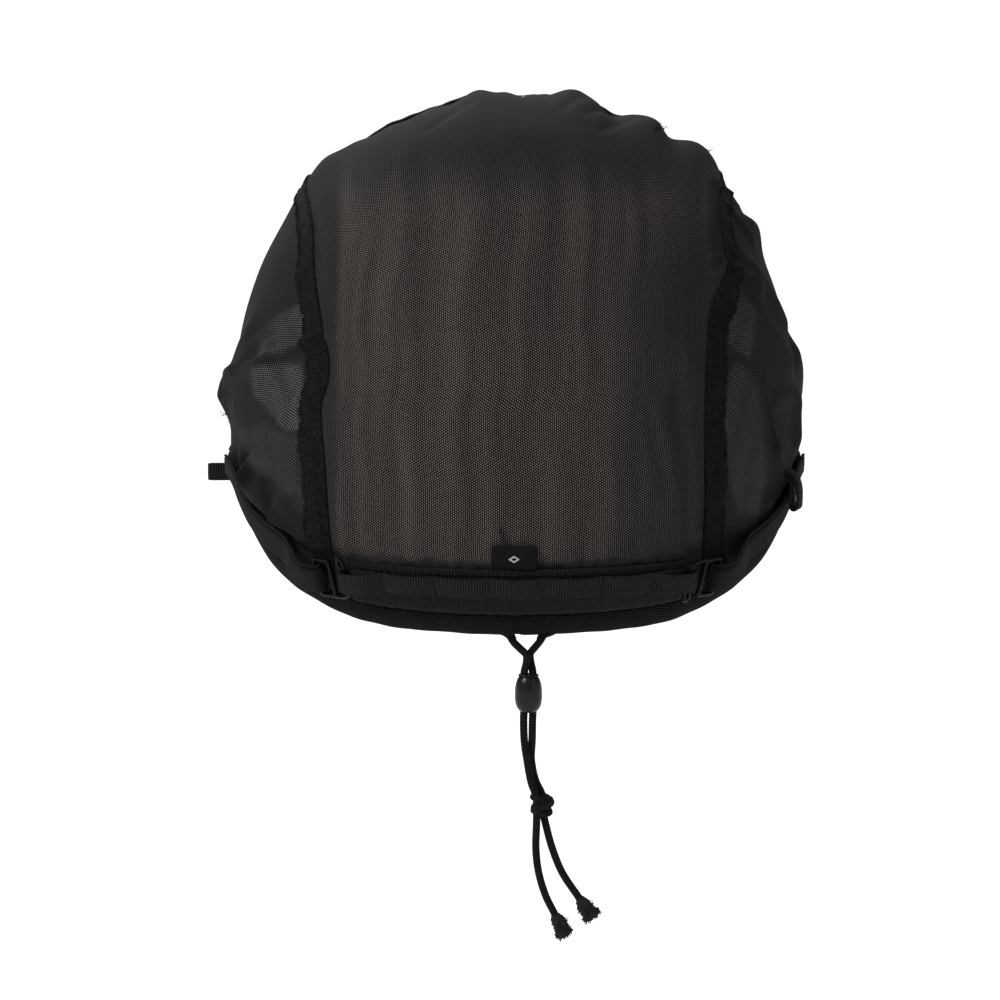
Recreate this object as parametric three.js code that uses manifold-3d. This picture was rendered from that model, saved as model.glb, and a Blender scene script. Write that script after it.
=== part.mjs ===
// A wig cap as it is worn: a net dome of a centre panel and two side panels, with a drawstring hem,
// an adjustable strap with hooks across the nape, and the drawstring's ends hanging in a cord lock.
// Millimetres, +Z up, the face towards -Y, the nape towards +Y, +X towards the wearer's left.
// The origin is the inner apex of the crown, where a head carries the cap.
import * as THREE from "three";
import { mergeVertices } from "three/addons/utils/BufferGeometryUtils.js";
import Module from "manifold-3d";

const wasm = await Module();
wasm.setup();

// Head form that the net is stretched over
const headHalfWidth = 80;
const headBackReach = 98;
const headFrontReach = 96;
const crownHeight = 97;
const napeDepth = 74;
const squareness = 2.2;

// Cloth and clearances
const clearance = 0.3;
const layerGap = 0.45;
const netWall = 1;
const tapeWall = 1;
const ribbonWall = 1;
const strapWall = 1;
const hemWall = 1.2;
const hemRoll = 0.5;

// Widths of the sewn pieces
const hemFall = 136.2;
const hemHeight = 6.6;
const bindingHeight = 7;
const seamHalfSpacing = 52;
const seamTapeWidth = 5.4;
const seamRidge = 0.5;
const crownSeamWidth = 5;
const crownSeamPlace = -32;
const ribbonWidth = 12.5;
const ribbonReach = 47.5;
const loopWidth = 5.8;
const strapWidth = 9.5;
const labelWidth = 11.8;
const labelHeight = 6.4;
const labelAzimuth = 8;
const labelAside = 1;

// Folds of the net
const foldHeight = 3;
const foldWidth = 7;
const hillHeight = 2.4;
const hillWidth = 8;
const hillReach = 24;
const hillPlace = -8;

// Loops tacked along the nape ribbon
const tackCount = 6;
const tackPitch = 14.4;
const loopRise = 1.3;
const loopRaise = 2.4;

// Hooks: a closed frame that the strap passes through, and an arm that holds a loop
const hookWall = 1.3;
const hookBar = 1.2;
const hookFrameWidth = 6.3;
const hookFrameHeight = 11.8;
const hookArmReach = 5.1;
const hookArmDrop = 6.4;
const hookArmRise = 4.4;
const hookCurl = 1.6;
const hookOffset = 50.6;
const hookSettle = 0.12;

// Straps
const strapEndAzimuth = 80;
const strapLevelAzimuth = 40;
const strapLevelBlend = 8;
const strapFoldBack = 5;
const strapSettle = 13;

// Places where the pieces of the edge and the side panels end, by azimuth from the nape
const casingEndAzimuth = 84;
const behindEarAzimuth = 62;
const templeAzimuth = 132;

// Ear loops
const leftLoopAzimuth = 89;
const leftLoopDrop = 3.9;
const rightLoopAzimuth = 64.5;
const rightLoopRise = 18;
const earLoopWidth = 4.8;
const earLoopWall = 0.8;
const earLoopTurn = 0.95;
const earLoopReach = 5;
const hangingLoopDrop = 11;
const hangingLoopTurn = 0.95;

// Drawstring
const cordDiameter = 2.1;
const cordSides = 8;
const lockWidth = 7.4;
const lockHeight = 10.2;
const knotWidth = 6.6;
const knotHeight = 6;
const endKnotLength = 6.4;
const endKnotWidth = 4.8;
const lockDrop = 16.6;
const knotDrop = 47.4;
const knotAside = -0.6;

// Lower edge of the cap by azimuth from the nape, in degrees; the fall is a share of the hem's fall
const edgeTable = [
  { azimuth: 0, fall: 1 },
  { azimuth: 15, fall: 0.998 },
  { azimuth: 30, fall: 0.9925 },
  { azimuth: 38, fall: 0.981 },
  { azimuth: 45, fall: 0.963 },
  { azimuth: 52, fall: 0.939 },
  { azimuth: 57, fall: 0.917 },
  { azimuth: 62, fall: 0.883 },
  { azimuth: 66, fall: 0.841 },
  { azimuth: 70, fall: 0.797 },
  { azimuth: 75, fall: 0.772 },
  { azimuth: 82, fall: 0.768 },
  { azimuth: 92, fall: 0.775 },
  { azimuth: 104, fall: 0.778 },
  { azimuth: 116, fall: 0.75 },
  { azimuth: 129, fall: 0.68 },
  { azimuth: 145, fall: 0.61 },
  { azimuth: 180, fall: 0.565 },
];

// Seams from the front edge to the nape; the spacing is a share of the seams' half spacing
const leftSeamTable = [
  { along: 0, spacing: 0.93 },
  { along: 0.25, spacing: 1.05 },
  { along: 0.45, spacing: 1.1 },
  { along: 0.58, spacing: 1.06 },
  { along: 0.66, spacing: 1.04 },
  { along: 0.73, spacing: 0.99 },
  { along: 0.765, spacing: 0.955 },
  { along: 0.795, spacing: 1 },
  { along: 0.86, spacing: 0.985 },
  { along: 0.93, spacing: 0.965 },
  { along: 1, spacing: 0.93 },
];
const rightSeamTable = [
  { along: 0, spacing: 0.93 },
  { along: 0.25, spacing: 1.05 },
  { along: 0.45, spacing: 1.09 },
  { along: 0.56, spacing: 1.07 },
  { along: 0.64, spacing: 1.09 },
  { along: 0.7, spacing: 1 },
  { along: 0.8, spacing: 0.965 },
  { along: 0.9, spacing: 0.965 },
  { along: 1, spacing: 0.95 },
];

// Strap from the hook to the ear; rise above the cap's lower edge and width are shares of the strap's width
const strapTable = [
  { azimuth: 34, rise: 1.25, width: 0.86 },
  { azimuth: 42, rise: 1.27, width: 0.9 },
  { azimuth: 47, rise: 1.34, width: 1.0 },
  { azimuth: 52, rise: 1.32, width: 0.95 },
  { azimuth: 58, rise: 1.22, width: 0.83 },
  { azimuth: 63, rise: 1.0, width: 0.72 },
  { azimuth: 69, rise: 0.68, width: 0.62 },
  { azimuth: 75, rise: 0.47, width: 0.56 },
  { azimuth: 82, rise: 0.4, width: 0.54 },
];

// Ridges in the side panels' net; falls are shares of the hem's fall, the rest shares of the fold sizes
const leftFolds = [
  { azimuth: 72, fall: 0.46, toAzimuth: 86, toFall: 0.6, height: 0.6, width: 0.8 },
  { azimuth: 88, fall: 0.62, toAzimuth: 95, toFall: 0.635, height: 0.9, width: 0.8 },
  { azimuth: 58, fall: 0.51, toAzimuth: 73, toFall: 0.57, height: 0.65, width: 0.7 },
  { azimuth: 67, fall: 0.74, toAzimuth: 61, toFall: 0.78, height: 1, width: 0.9 },
  { azimuth: 112, fall: 0.3, toAzimuth: 108, toFall: 0.6, height: 0.6, width: 1.1 },
];
const rightFolds = [
  { azimuth: 72, fall: 0.2, toAzimuth: 88, toFall: 0.27, height: 1, width: 0.9 },
  { azimuth: 62, fall: 0.29, toAzimuth: 76, toFall: 0.44, height: 0.7, width: 0.75 },
  { azimuth: 58, fall: 0.39, toAzimuth: 73, toFall: 0.51, height: 0.7, width: 0.75 },
  { azimuth: 85, fall: 0.53, toAzimuth: 94, toFall: 0.63, height: 0.9, width: 0.8 },
  { azimuth: 76, fall: 0.62, toAzimuth: 73, toFall: 0.69, height: 0.6, width: 0.8 },
  { azimuth: 112, fall: 0.3, toAzimuth: 108, toFall: 0.6, height: 0.6, width: 1.1 },
];
const centreFolds = [
  { azimuth: 22, fall: 0.55, toAzimuth: 33, toFall: 0.4, height: 0.4, width: 0.6 },
  { azimuth: -30, fall: 0.62, toAzimuth: -27, toFall: 0.84, height: 0.5, width: 0.45 },
  { azimuth: -24, fall: 0.68, toAzimuth: -21, toFall: 0.84, height: 0.35, width: 0.4 },
];

// Hills of the net along the crown seam; across is a share of the head's half width
const crownHills = [
  { across: 0.66, height: 1.1, width: 0.9 },
  { across: 0.42, height: -0.5, width: 1.8 },
  { across: 0.23, height: -0.45, width: 0.55 },
  { across: 0.12, height: 0.8, width: 1 },
  { across: -0.225, height: 1.35, width: 0.95 },
  { across: -0.35, height: -0.9, width: 0.45 },
  { across: -0.47, height: 1.45, width: 0.7 },
  { across: -0.54, height: -0.5, width: 0.4 },
  { across: -0.64, height: 2.1, width: 0.8 },
];

// Free ends of the drawstring from the hem's lower edge at the nape: across to the left, out and down
const leftCordRoute = [
  { across: 1.35, out: 0.2, drop: 1.35 },
  { across: 1.2, out: 0.25, drop: 2.4 },
  { across: -0.6, out: 1, drop: 4.2 },
  { across: -2.4, out: 1.75, drop: 6 },
  { across: -2.4, out: 1.7, drop: 8.2 },
  { across: -1.9, out: 1.1, drop: 10.4 },
  { across: -1.8, out: 0.8, drop: 12 },
  { across: -1.8, out: 0.8, drop: 16.6 },
  { across: -1.8, out: 0.8, drop: 21.4 },
  { across: -1.7, out: 0.8, drop: 24 },
  { across: -1.9, out: 1.3, drop: 30 },
  { across: -2.6, out: 1.8, drop: 34.8 },
  { across: -3.2, out: 1.85, drop: 38.5 },
  { across: -3.9, out: 1.8, drop: 41.6 },
  { across: -4.8, out: 1.65, drop: 44 },
  { across: -5.25, out: 1.6, drop: 45.6 },
  { across: -5.25, out: 1.6, drop: 49.4 },
  { across: -5.2, out: 1.4, drop: 53 },
  { across: -5.05, out: 1, drop: 59.7 },
  { across: -5.8, out: 0.8, drop: 66.3 },
  { across: -7.7, out: 0.8, drop: 72.8 },
  { across: -10.2, out: 0.8, drop: 78 },
];
const rightCordRoute = [
  { across: -6.3, out: 0.2, drop: 1.35 },
  { across: -6.1, out: 0.15, drop: 2.4 },
  { across: -4.8, out: -0.35, drop: 4.2 },
  { across: -3.5, out: -0.6, drop: 6 },
  { across: -3.6, out: -0.4, drop: 8.2 },
  { across: -4.1, out: 0.4, drop: 10.4 },
  { across: -4.2, out: 0.8, drop: 12 },
  { across: -4.2, out: 0.8, drop: 16.6 },
  { across: -4.2, out: 0.8, drop: 21.4 },
  { across: -4.1, out: 0.7, drop: 24 },
  { across: -4, out: 0.2, drop: 30 },
  { across: -3.8, out: -0.3, drop: 34.8 },
  { across: -4.3, out: -0.3, drop: 38.5 },
  { across: -5.2, out: -0.25, drop: 41.6 },
  { across: -6.4, out: -0.15, drop: 44 },
  { across: -6.95, out: -0.1, drop: 45.6 },
  { across: -6.95, out: -0.1, drop: 49.4 },
  { across: -7.7, out: 0.1, drop: 53 },
  { across: -9.5, out: 0.5, drop: 59.7 },
  { across: -12.2, out: 0.8, drop: 66.4 },
  { across: -16.8, out: 0.8, drop: 73.5 },
];

// Materials
const material = (color, roughness) => new THREE.MeshStandardMaterial({ color, roughness, metalness: 0 });
const netMaterial = material(0x2a2a2c, 0.85);
const tapeMaterial = material(0x161618, 0.9);
const hemMaterial = material(0x111117, 0.85);
const ribbonMaterial = material(0x1d1d22, 0.75);
const strapMaterial = material(0x202024, 0.8);
const hookMaterial = material(0x0c0c0d, 0.25);
const labelMaterial = material(0x121214, 0.7);
const cordMaterial = material(0x101010, 0.6);
const lockMaterial = material(0x2c2e31, 0.5);

const cap = new THREE.Group();

function addPiece(name, geometry, pieceMaterial) {
  const mesh = new THREE.Mesh(geometry, pieceMaterial);
  mesh.name = name;
  cap.add(mesh);
  return mesh;
}

// Smooth value of one column of a table, read along another column.
function smoothColumn(rows, key, column) {
  const spline = new THREE.CubicInterpolant(
    rows.map((row) => row[key]),
    rows.map((row) => row[column]),
    1,
  );
  return (at) => spline.evaluate(at)[0];
}

const signedPower = (value, power) => Math.sign(value) * Math.pow(Math.abs(value), power);
const mix = THREE.MathUtils.lerp;
const fade = (value) => THREE.MathUtils.smoothstep(value, 0, 1);

// Radii of the head form in the octant where an offset from the form's centre lies.
function formRadii(offset) {
  return [
    headHalfWidth,
    offset.y > 0 ? headBackReach : headFrontReach,
    offset.z > 0 ? crownHeight : napeDepth,
  ];
}

const formCentre = new THREE.Vector3(0, 0, -crownHeight);

function headNormal(point) {
  const offset = point.clone().sub(formCentre);
  const radii = formRadii(offset);
  const slopes = offset.toArray().map((v, i) => signedPower(v / radii[i], squareness - 1) / radii[i]);
  return new THREE.Vector3(...slopes).normalize();
}

// The point of the head form in the direction of a given point, lifted off the form.
function ontoHead(point, lift = 0) {
  const offset = point.clone().sub(formCentre);
  const radii = formRadii(offset);
  const sum = offset.toArray().reduce((s, v, i) => s + Math.pow(Math.abs(v) / radii[i], squareness), 0);
  const seated = offset.multiplyScalar(Math.pow(sum, -1 / squareness)).add(formCentre);
  return seated.addScaledVector(headNormal(seated), lift);
}

// The point of the head form at an azimuth from the nape and a fall below the apex.
function onHead(azimuth, fall, lift = 0) {
  const angle = THREE.MathUtils.degToRad(azimuth);
  const height = crownHeight - fall;
  const depth = height > 0 ? crownHeight : napeDepth;
  const shrink = Math.pow(1 - Math.pow(Math.abs(height) / depth, squareness), 1 / squareness);
  const reach = Math.cos(angle) > 0 ? headBackReach : headFrontReach;
  const x = shrink * headHalfWidth * signedPower(Math.sin(angle), 2 / squareness);
  const y = shrink * reach * signedPower(Math.cos(angle), 2 / squareness);
  const point = new THREE.Vector3(x, y, -fall);
  return point.addScaledVector(headNormal(point), lift);
}

// The point of the head form at a distance across from the middle plane and an angle over the head in a plane
// parallel to it: 0 at the front, 90 at the crown, 180 at the back.
function overHead(across, angle) {
  const turn = THREE.MathUtils.degToRad(angle);
  const shrink = Math.pow(1 - Math.pow(Math.abs(across) / headHalfWidth, squareness), 1 / squareness);
  const ray = new THREE.Vector3(0, -Math.cos(turn), Math.sin(turn)).add(formCentre);
  const middle = ontoHead(ray).sub(formCentre);
  return new THREE.Vector3(across, middle.y * shrink, middle.z * shrink).add(formCentre);
}

function overHeadAngle(point) {
  return THREE.MathUtils.radToDeg(Math.atan2(point.z + crownHeight, -point.y));
}

// Lower edge of the cap all round, and the lines parallel to it
const edgeColumn = smoothColumn(edgeTable, "azimuth", "fall");

function edgeFall(azimuth) {
  const turned = Math.abs(azimuth) > 180 ? 360 - Math.abs(azimuth) : Math.abs(azimuth);
  return edgeColumn(turned) * hemFall;
}

// The panels end just above the casing at the nape and above the binding at the front.
function netEdgeFall(azimuth) {
  const turned = Math.abs(azimuth) > 180 ? 360 - Math.abs(azimuth) : Math.abs(azimuth);
  const blend = fade((turned - casingEndAzimuth + 4) / 8);
  return edgeFall(azimuth) - mix(hemHeight, bindingHeight, blend) - 2 * clearance;
}

// Azimuth where the panels' lower edge is a given distance from the middle plane, between two azimuths.
function azimuthAcross(across, from, to) {
  let near = from;
  let far = to;
  for (let step = 0; step < 40; step += 1) {
    const middle = (near + far) / 2;
    if (Math.abs(onHead(middle, netEdgeFall(middle)).x) < across) near = middle;
    else far = middle;
  }
  return (near + far) / 2;
}

// A closed wall from a grid: pointAt gives its inner point for face 0 and its outer one for face 1.
function wallSolid(stations, columns, pointAt) {
  const positions = [];
  for (const face of [0, 1]) {
    for (let i = 0; i <= stations; i += 1) {
      for (let j = 0; j <= columns; j += 1) {
        positions.push(...pointAt(i / stations, j / columns, face).toArray());
      }
    }
  }
  const vertex = (face, i, j) => (face * (stations + 1) + i) * (columns + 1) + j;
  const triangles = [];
  const quad = (a, b, c, d) => triangles.push(a, b, c, a, c, d);
  for (let i = 0; i < stations; i += 1) {
    for (let j = 0; j < columns; j += 1) {
      quad(vertex(1, i, j), vertex(1, i + 1, j), vertex(1, i + 1, j + 1), vertex(1, i, j + 1));
      quad(vertex(0, i, j), vertex(0, i, j + 1), vertex(0, i + 1, j + 1), vertex(0, i + 1, j));
    }
    quad(vertex(0, i, 0), vertex(0, i + 1, 0), vertex(1, i + 1, 0), vertex(1, i, 0));
    quad(vertex(1, i, columns), vertex(1, i + 1, columns), vertex(0, i + 1, columns), vertex(0, i, columns));
  }
  for (let j = 0; j < columns; j += 1) {
    quad(vertex(1, 0, j), vertex(1, 0, j + 1), vertex(0, 0, j + 1), vertex(0, 0, j));
    const [low, high] = [vertex(0, stations, j), vertex(0, stations, j + 1)];
    quad(low, high, vertex(1, stations, j + 1), vertex(1, stations, j));
  }
  return facingOut(positions, triangles);
}

// A geometry from shared vertices, turned round if its faces point inwards.
function facingOut(positions, triangles) {
  const corner = (index) => new THREE.Vector3().fromArray(positions, 3 * index);
  let volume = 0;
  for (let t = 0; t < triangles.length; t += 3) {
    volume += corner(triangles[t]).dot(corner(triangles[t + 1]).cross(corner(triangles[t + 2])));
  }
  const geometry = new THREE.BufferGeometry();
  geometry.setAttribute("position", new THREE.Float32BufferAttribute(positions, 3));
  geometry.setIndex(volume < 0 ? triangles.slice().reverse() : triangles);
  return geometry;
}

function solidOf(geometry) {
  const bare = geometry.index ? geometry.toNonIndexed() : geometry.clone();
  bare.deleteAttribute("normal");
  bare.deleteAttribute("uv");
  const merged = mergeVertices(bare, 1e-4);
  return new wasm.Manifold(
    new wasm.Mesh({
      numProp: 3,
      vertProperties: merged.attributes.position.array,
      triVerts: new Uint32Array(merged.index.array),
    }),
  );
}

function geometryOf(solid) {
  const mesh = solid.getMesh();
  const geometry = new THREE.BufferGeometry();
  geometry.setAttribute("position", new THREE.BufferAttribute(mesh.vertProperties, 3));
  geometry.setIndex(new THREE.BufferAttribute(mesh.triVerts, 1));
  return geometry;
}

// Folds: ridges between two places on the head form, and hills along the crown seam
function placedFolds(rows, side) {
  return rows.map((row) => ({
    from: onHead(side * row.azimuth, row.fall * hemFall),
    to: onHead(side * row.toAzimuth, row.toFall * hemFall),
    height: row.height * foldHeight,
    width: row.width * foldWidth,
  }));
}

function ridgeLift(point, folds) {
  const nearest = new THREE.Vector3();
  return folds.reduce((lift, fold) => {
    new THREE.Line3(fold.from, fold.to).closestPointToPoint(point, true, nearest);
    const share = nearest.distanceTo(point) / fold.width;
    return lift + fold.height * Math.exp(-share * share);
  }, 0);
}

function hillLift(point) {
  const along = Math.exp(-Math.pow((point.y - hillPlace) / hillReach, 2));
  return crownHills.reduce((lift, hill) => {
    const share = (point.x - hill.across * headHalfWidth) / (hill.width * hillWidth);
    return lift + hill.height * hillHeight * along * Math.exp(-share * share);
  }, 0);
}

// Seams between the centre panel and the side panels
function seamCurve(table, side) {
  const spacing = smoothColumn(table, "along", "spacing");
  const napeAcross = spacing(1) * seamHalfSpacing;
  const frontAcross = spacing(0) * seamHalfSpacing;
  const napeAzimuth = azimuthAcross(napeAcross, 0, 85);
  const frontAzimuth = azimuthAcross(frontAcross, 180, 95);
  const nape = onHead(napeAzimuth, netEdgeFall(napeAzimuth));
  const front = onHead(frontAzimuth, netEdgeFall(frontAzimuth));
  const napeAngle = overHeadAngle(nape);
  const frontAngle = overHeadAngle(front);
  const napeTurned = napeAngle < 0 ? napeAngle + 360 : napeAngle;
  const points = [];
  const steps = 40;
  for (let step = 0; step <= steps; step += 1) {
    const along = step / steps;
    points.push(overHead(side * spacing(along) * seamHalfSpacing, mix(frontAngle, napeTurned, along)));
  }
  return {
    side,
    napeAzimuth,
    frontAzimuth,
    curve: new THREE.CatmullRomCurve3(points),
  };
}

const leftSeam = seamCurve(leftSeamTable, 1);
const rightSeam = seamCurve(rightSeamTable, -1);

// A seam's point moved sideways over the head form, towards its side panel when the distance is positive.
function besideSeam(seam, along, distance) {
  const point = ontoHead(seam.curve.getPointAt(along));
  const tangent = seam.curve.getTangentAt(along);
  const outward = tangent.cross(headNormal(point)).multiplyScalar(seam.side).normalize();
  return ontoHead(point.addScaledVector(outward, distance));
}

const netEdge = (from, to) => (share) => {
  const azimuth = mix(from, to, share);
  return onHead(azimuth, netEdgeFall(azimuth));
};

// A net panel between four edges that meet at its corners; lift gives how far the net stands off the form.
function panelSolid({ upper, lower, front, back, stations, columns, lift }) {
  const corners = [upper(0), upper(1), lower(0), lower(1)];
  const place = (u, v) =>
    new THREE.Vector3()
      .addScaledVector(upper(u), 1 - v)
      .addScaledVector(lower(u), v)
      .addScaledVector(front(v), 1 - u)
      .addScaledVector(back(v), u)
      .addScaledVector(corners[0], -(1 - u) * (1 - v))
      .addScaledVector(corners[1], -u * (1 - v))
      .addScaledVector(corners[2], -(1 - u) * v)
      .addScaledVector(corners[3], -u * v);
  return wallSolid(stations, columns, (u, v, face) => {
    const seat = ontoHead(place(u, v));
    return ontoHead(seat, lift(seat, u, v) + face * netWall);
  });
}

const seamGap = 0.6 * clearance;
const gapAngle = THREE.MathUtils.radToDeg(seamGap / headHalfWidth);
const centreColumns = 24;
const seamStations = 27;
const foldRoom = 0.14;
const seamTapeStart = 1 / seamStations;
const seamTapeEnd = 1 - 2 / seamStations;
const crownSeamReach = 0.96;

// Folds have room beside the seams and above the ribbon and the straps; hills run on across the seams
const centrePlaced = placedFolds(centreFolds, 1);

function centreLift(seat, u, v) {
  const seamRoom = fade(Math.min(v, 1 - v) / foldRoom);
  const ribbonRoom = fade((hemFall - hemHeight - ribbonWidth - labelHeight + seat.z) / foldWidth);
  return seamRoom * ribbonRoom * ridgeLift(seat, centrePlaced) + hillLift(seat);
}

function makeCentrePanel() {
  const geometry = panelSolid({
    upper: (u) => besideSeam(leftSeam, u, -seamGap),
    lower: (u) => besideSeam(rightSeam, u, -seamGap),
    front: netEdge(leftSeam.frontAzimuth + gapAngle, 360 - rightSeam.frontAzimuth - gapAngle),
    back: netEdge(leftSeam.napeAzimuth - gapAngle, -rightSeam.napeAzimuth + gapAngle),
    stations: seamStations,
    columns: centreColumns,
    lift: centreLift,
  });
  addPiece("centre_panel", geometry, netMaterial);
}

function makeSidePanel(name, seam, folds) {
  const side = seam.side;
  const placed = placedFolds(folds, side);
  const tapeShare = 0.06;
  const strapRoom = (seat) => {
    const azimuth = azimuthOf(seat);
    const top = azimuth < strapEndAzimuth ? strapTopFall(azimuth) : netEdgeFall(azimuth);
    return fade((top + seat.z) / foldWidth);
  };
  const geometry = panelSolid({
    upper: (u) => besideSeam(seam, u, seamGap),
    lower: netEdge(side * templeAzimuth, side * behindEarAzimuth),
    front: netEdge(side * (seam.frontAzimuth - gapAngle), side * templeAzimuth),
    back: netEdge(side * (seam.napeAzimuth + gapAngle), side * behindEarAzimuth),
    stations: seamStations,
    columns: 14,
    lift: (seat, u, v) => {
      const room = fade((v - tapeShare) / foldRoom) * strapRoom(seat);
      return room * ridgeLift(seat, placed) + hillLift(seat);
    },
  });
  addPiece(name, geometry, netMaterial);
}

// Seam tape: the dark folded allowance on the side panel's edge, with the overlocked ridge by the seam
function makeSeamTape(name, seam) {
  const under = netWall + 2 * clearance;
  const geometry = wallSolid(seamStations - 3, 2, (u, v, face) => {
    const along = mix(seamTapeStart, seamTapeEnd, u);
    const ridge = v === 0.5 ? seamRidge : 0;
    const seat = besideSeam(seam, along, seamGap + v * seamTapeWidth);
    return ontoHead(seat, hillLift(seat) + under + face * (tapeWall + ridge));
  });
  addPiece(name, geometry, tapeMaterial);
}

// Crown seam: the gathered allowance that lies across the crown from seam to seam
function makeCrownSeam() {
  const geometry = wallSolid(centreColumns, 2, (u, v, face) => {
    const across = mix(crownSeamReach, -crownSeamReach, u) * seamHalfSpacing;
    const seat = overHead(across, 90);
    seat.y = crownSeamPlace + (v - 0.5) * crownSeamWidth;
    const base = ontoHead(seat);
    return ontoHead(base, hillLift(base) + netWall + 2 * layerGap + face * tapeWall);
  });
  addPiece("crown_seam", geometry, tapeMaterial);
}

// A band on the head form between two lines of falls, as wide as they are apart
function bandSolid({ from, to, upper, lower, lift, wall, roll = 0, stations, columns }) {
  return wallSolid(stations, columns, (u, v, face) => {
    const azimuth = mix(from, to, u);
    const bulge = roll * Math.sin(Math.PI * v);
    return onHead(azimuth, mix(upper(azimuth), lower(azimuth), v), lift + face * (wall + bulge));
  });
}

const casingTop = (azimuth) => edgeFall(azimuth) - hemHeight;
const bindingTop = (azimuth) => edgeFall(azimuth) - bindingHeight;

function makeEdges() {
  for (const [name, side] of [["hem_casing_left", 1], ["hem_casing_right", -1]]) {
    const geometry = bandSolid({
      from: (side * gapAngle) / 2,
      to: side * casingEndAzimuth,
      upper: casingTop,
      lower: edgeFall,
      lift: 0,
      wall: hemWall,
      roll: hemRoll,
      stations: 22,
      columns: 3,
    });
    addPiece(name, geometry, hemMaterial);
  }
  const binding = bandSolid({
    from: casingEndAzimuth + gapAngle,
    to: 360 - casingEndAzimuth - gapAngle,
    upper: bindingTop,
    lower: edgeFall,
    lift: 0,
    wall: hemWall,
    stations: 36,
    columns: 2,
  });
  addPiece("front_binding", binding, hemMaterial);
}

// Nape ribbon: level along its top, its lower edge on the casing; the loops lie over its upper part
const ribbonCentreFall = hemFall - hemHeight - clearance - ribbonWidth / 2;
const loopCentreFall = ribbonCentreFall - loopRaise;
const ribbonTop = () => ribbonCentreFall - ribbonWidth / 2;
const ribbonEdge = ribbonCentreFall + ribbonWidth / 2;
const ribbonBottom = (azimuth) => Math.min(ribbonEdge, casingTop(azimuth) - clearance);

// A line on the head form measured from its start, with the directions there
function measuredLine(fallAt, from, to) {
  const points = [];
  const steps = 60;
  for (let step = 0; step <= steps; step += 1) {
    const azimuth = mix(from, to, step / steps);
    points.push(onHead(azimuth, fallAt(azimuth)));
  }
  const curve = new THREE.CatmullRomCurve3(points);
  curve.arcLengthDivisions = 400;
  const length = curve.getLength();
  const frameAt = (distance) => {
    const share = THREE.MathUtils.clamp(distance / length, 0, 1);
    const point = ontoHead(curve.getPointAt(share));
    const along = curve.getTangentAt(share);
    const out = headNormal(point);
    const up = out.clone().cross(along).normalize();
    if (up.z < 0) up.negate();
    return { point, along, out, up };
  };
  return { length, frameAt };
}

// A ribbon, straight across its width, that follows a path of distances and lifts over a measured line
function ribbonSolid({ line, path, width, wall, columns }) {
  const normals = path.map((_, i) => {
    const before = path[Math.max(i - 1, 0)];
    const after = path[Math.min(i + 1, path.length - 1)];
    const slope = new THREE.Vector2(after[0] - before[0], after[1] - before[1]).normalize();
    return new THREE.Vector2(-slope.y, slope.x);
  });
  return wallSolid(path.length - 1, columns, (u, v, face) => {
    const i = Math.round(u * (path.length - 1));
    const frame = line.frameAt(path[i][0]);
    const offset = (face - 0.5) * wall;
    return frame.point
      .clone()
      .addScaledVector(frame.up, (0.5 - v) * width(path[i][0]))
      .addScaledVector(frame.out, path[i][1] + normals[i].y * offset)
      .addScaledVector(frame.along, normals[i].x * offset);
  });
}

// Lifts of the nape's layers off the head form
const upperLayer = netWall + 2 * layerGap + ribbonWall + ribbonWall / 2;
const strapLayer = hemWall + hemRoll + layerGap + strapWall / 2;
const innerTurn = upperLayer;
const turnRadius = hookWall / 2 + layerGap + strapWall / 2;
const hookLift = innerTurn + turnRadius;
const outerTurn = hookLift + turnRadius;

// Half circle round a bar: the path comes in on one layer and leaves on the other.
function turnPath(centre, direction, startsInside) {
  const steps = 6;
  const points = [];
  for (let step = 0; step <= steps; step += 1) {
    const angle = (Math.PI * step) / steps;
    const height = startsInside ? -Math.cos(angle) : Math.cos(angle);
    points.push([centre + direction * turnRadius * Math.sin(angle), hookLift + turnRadius * height]);
  }
  return points;
}

const levelAzimuth = 58;
const levelLine = measuredLine(() => loopCentreFall, levelAzimuth, -levelAzimuth);
const middle = levelLine.length / 2;

function makeNapeRibbon() {
  const endAzimuth = azimuthOf(levelLine.frameAt(middle - ribbonReach).point);
  const geometry = bandSolid({
    from: endAzimuth,
    to: -endAzimuth,
    upper: ribbonTop,
    lower: ribbonBottom,
    lift: netWall + layerGap,
    wall: ribbonWall,
    stations: 22,
    columns: 2,
  });
  addPiece("nape_ribbon", geometry, ribbonMaterial);
}

// A hook stands off the form, so its reaches are shorter when measured on the form's line.
const hookFrame = levelLine.frameAt(middle - hookOffset);
const turned = hookFrame.out.angleTo(levelLine.frameAt(middle - hookOffset - hookFrameWidth).out);
const onForm = (reach) => reach / (1 + (hookLift * turned) / hookFrameWidth);

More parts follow.
